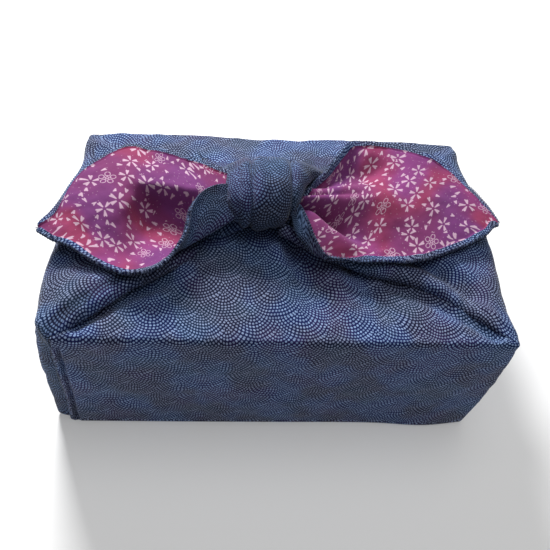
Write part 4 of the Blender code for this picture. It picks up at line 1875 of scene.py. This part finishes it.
def right_end(finishes: Finishes) -> LooseEnd:
    """The loose end on the right, with folds that fan out from where the knot holds it."""
    return LooseEnd(
        finishes,
        EndSide.RIGHT,
        hem=0.0040,
        flat_tip=(0.301, 0.217),
        cuts=(
            (
                (-3, 3, 121), (-3, 2, 119.5), (-3, 0.5, 118.5), (-3, -1.5, 118), (-3, -4, 117),
                (-3, -7, 116.5), (-3, -3, 121),
            ),
            (
                (6.5, 3.6, 121.3), (7.6, 1.8, 118.6), (7.8, 0, 119.4), (7.2, -2, 117),
                (6.2, -4.4, 117), (2, -11, 113.8), (3.8, -1.5, 121.4),
            ),
            (
                (14, 11.5, 121.2), (16, 7, 116.5), (16.5, 1, 117.2), (15, -5, 113),
                (12.5, -10, 115), (4, -20.5, 110.5), (8.5, -12, 118.5),
            ),
            (
                (23, 21.5, 120.7), (26, 13, 113.5), (27, 2, 116), (25, -10, 108.5),
                (20.5, -19, 112.5), (11, -28.5, 107), (12.5, -23, 114.5),
            ),
            (
                (33, 37.5, 119.2), (37, 21, 110.5), (38, 4, 114), (35, -13.5, 106.5),
                (29, -24.5, 109.2), (20, -33.5, 105), (19, -32.5, 108.5),
            ),
            (
                (41, 47, 118), (46, 24, 110), (48, 5.5, 112.2), (46, -17, 105),
                (40, -27, 105.5), (33, -33.5, 104), (30, -33.5, 106),
            ),
            (
                (50, 50.6, 116), (54, 28, 110.4), (56, 7, 112.6), (55.5, -18, 104),
                (52, -27, 103.6), (49, -32, 103.2), (48, -33.2, 104),
            ),
            (
                (60, 51.2, 114.2), (63, 30, 111), (65, 8, 111.6), (66, -12, 105),
                (66.5, -24, 103), (66.5, -30, 103), (66.5, -32.5, 102.8),
            ),
            (
                (72.7, 51.2, 112.5), (76, 33, 110.6), (79, 11, 109.6), (81, -6, 105),
                (82, -18, 103), (82.1, -24, 102), (82.1, -27.2, 101.6),
            ),
            (
                (90.7, 47.4, 110), (94, 32, 108), (97.5, 14, 105.8), (100, 0, 103.5),
                (101, -9, 102), (101.4, -14, 101.2), (101.4, -17.8, 101),
            ),
            (
                (101, 40.5, 107.8), (104, 28, 106.4), (107, 14, 104.8), (109, 2, 103),
                (109.8, -6, 101.6), (110, -9.5, 101), (110, -12.5, 100.6),
            ),
            (
                (110.4, 29, 105.2), (112.5, 21, 104.6), (114.5, 11, 103.6), (115.8, 3, 102.4),
                (116.3, -3, 101.2), (116.4, -6, 100.8), (116.4, -8.5, 100.5),
            ),
            (
                (119.3, 15.6, 103), (120, 12, 102.9), (120.6, 8, 102.6), (121, 4, 102),
                (121.1, 1, 101.2), (121.1, -1.5, 100.8), (121, -3.5, 100.6),
            ),
            (
                (125, 1.5, 101.2), (125, 1, 101.2), (125, 0.5, 101.2), (125, 0, 101.1),
                (125, -0.5, 101.1), (125, -1, 101), (125, -1.4, 101),
            ),
        ),
        folds=(
            Fold(
                (
                    (0.0070, -0.0026), (0.0160, -0.0054), (0.0240, -0.0100), (0.0345, -0.0166),
                    (0.0430, -0.0212),
                ),
                -0.0082, 0.0027, 0.80, 1.2, True,
            ),
            Fold(
                ((0.0070, -0.0030), (0.0160, -0.0062), (0.0240, -0.0110), (0.0345, -0.0178)),
                -0.0040, 0.0010, 0.70, 0.6, True,
            ),
            Fold(((0.0070, 0.0024), (0.0260, 0.0044), (0.0420, 0.0066)), -0.0054, 0.0013, 0.70, 0.9, True),
            Fold(
                ((0.0060, 0.0042), (0.0124, 0.0090), (0.0193, 0.0128), (0.0280, 0.0220), (0.0400, 0.0300)),
                -0.0088, 0.0026, 0.50, 1.0, True,
            ),
            Fold(((0.0130, 0.0072), (0.0310, 0.0098), (0.0460, 0.0150)), 0.0030, 0.0026, 0.4, 0.7),
            Fold(((0.0090, 0.0004), (0.0250, 0.0004), (0.0490, 0.0050)), 0.0030, 0.0036, 0.3, 0.9),
            Fold(((0.0130, -0.0062), (0.0230, -0.0160), (0.0310, -0.0235)), 0.0026, 0.0026, 0.7, 0.6),
            Fold(((0.0470, 0.0260), (0.0560, 0.0330)), -0.0026, 0.0055),
            Fold(((0.0560, 0.0300), (0.0700, 0.0120)), -0.0012, 0.0060),
        ),
    )


def main() -> None:
    """Builds the tied cloth piece by piece, and its studio."""
    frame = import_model()
    LOG.info("packed model: %s", sorted(frame) if isinstance(frame, dict) else frame)
    finishes = Finishes.make()
    body = WrappedCloth(finishes).build()
    knot = KnotBand(finishes).build()
    ends = [left_end(finishes), right_end(finishes)]
    leaves = [end.build() for end in ends]
    stitches = [HemStitches(finishes).build(end) for end in ends]
    for piece in (body, knot, *leaves, *stitches):
        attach(piece, ROOT)
        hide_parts(CLOTH_NODE)
        "blossom_cotton" if piece in leaves else "dotted_cotton"
        LOG.info("%s: %d faces", piece.name, len(piece.data.polygons))
    Studio().build()


if __name__ == "__main__":
    logging.basicConfig(level=logging.INFO, format="%(name)s: %(message)s")
    main()
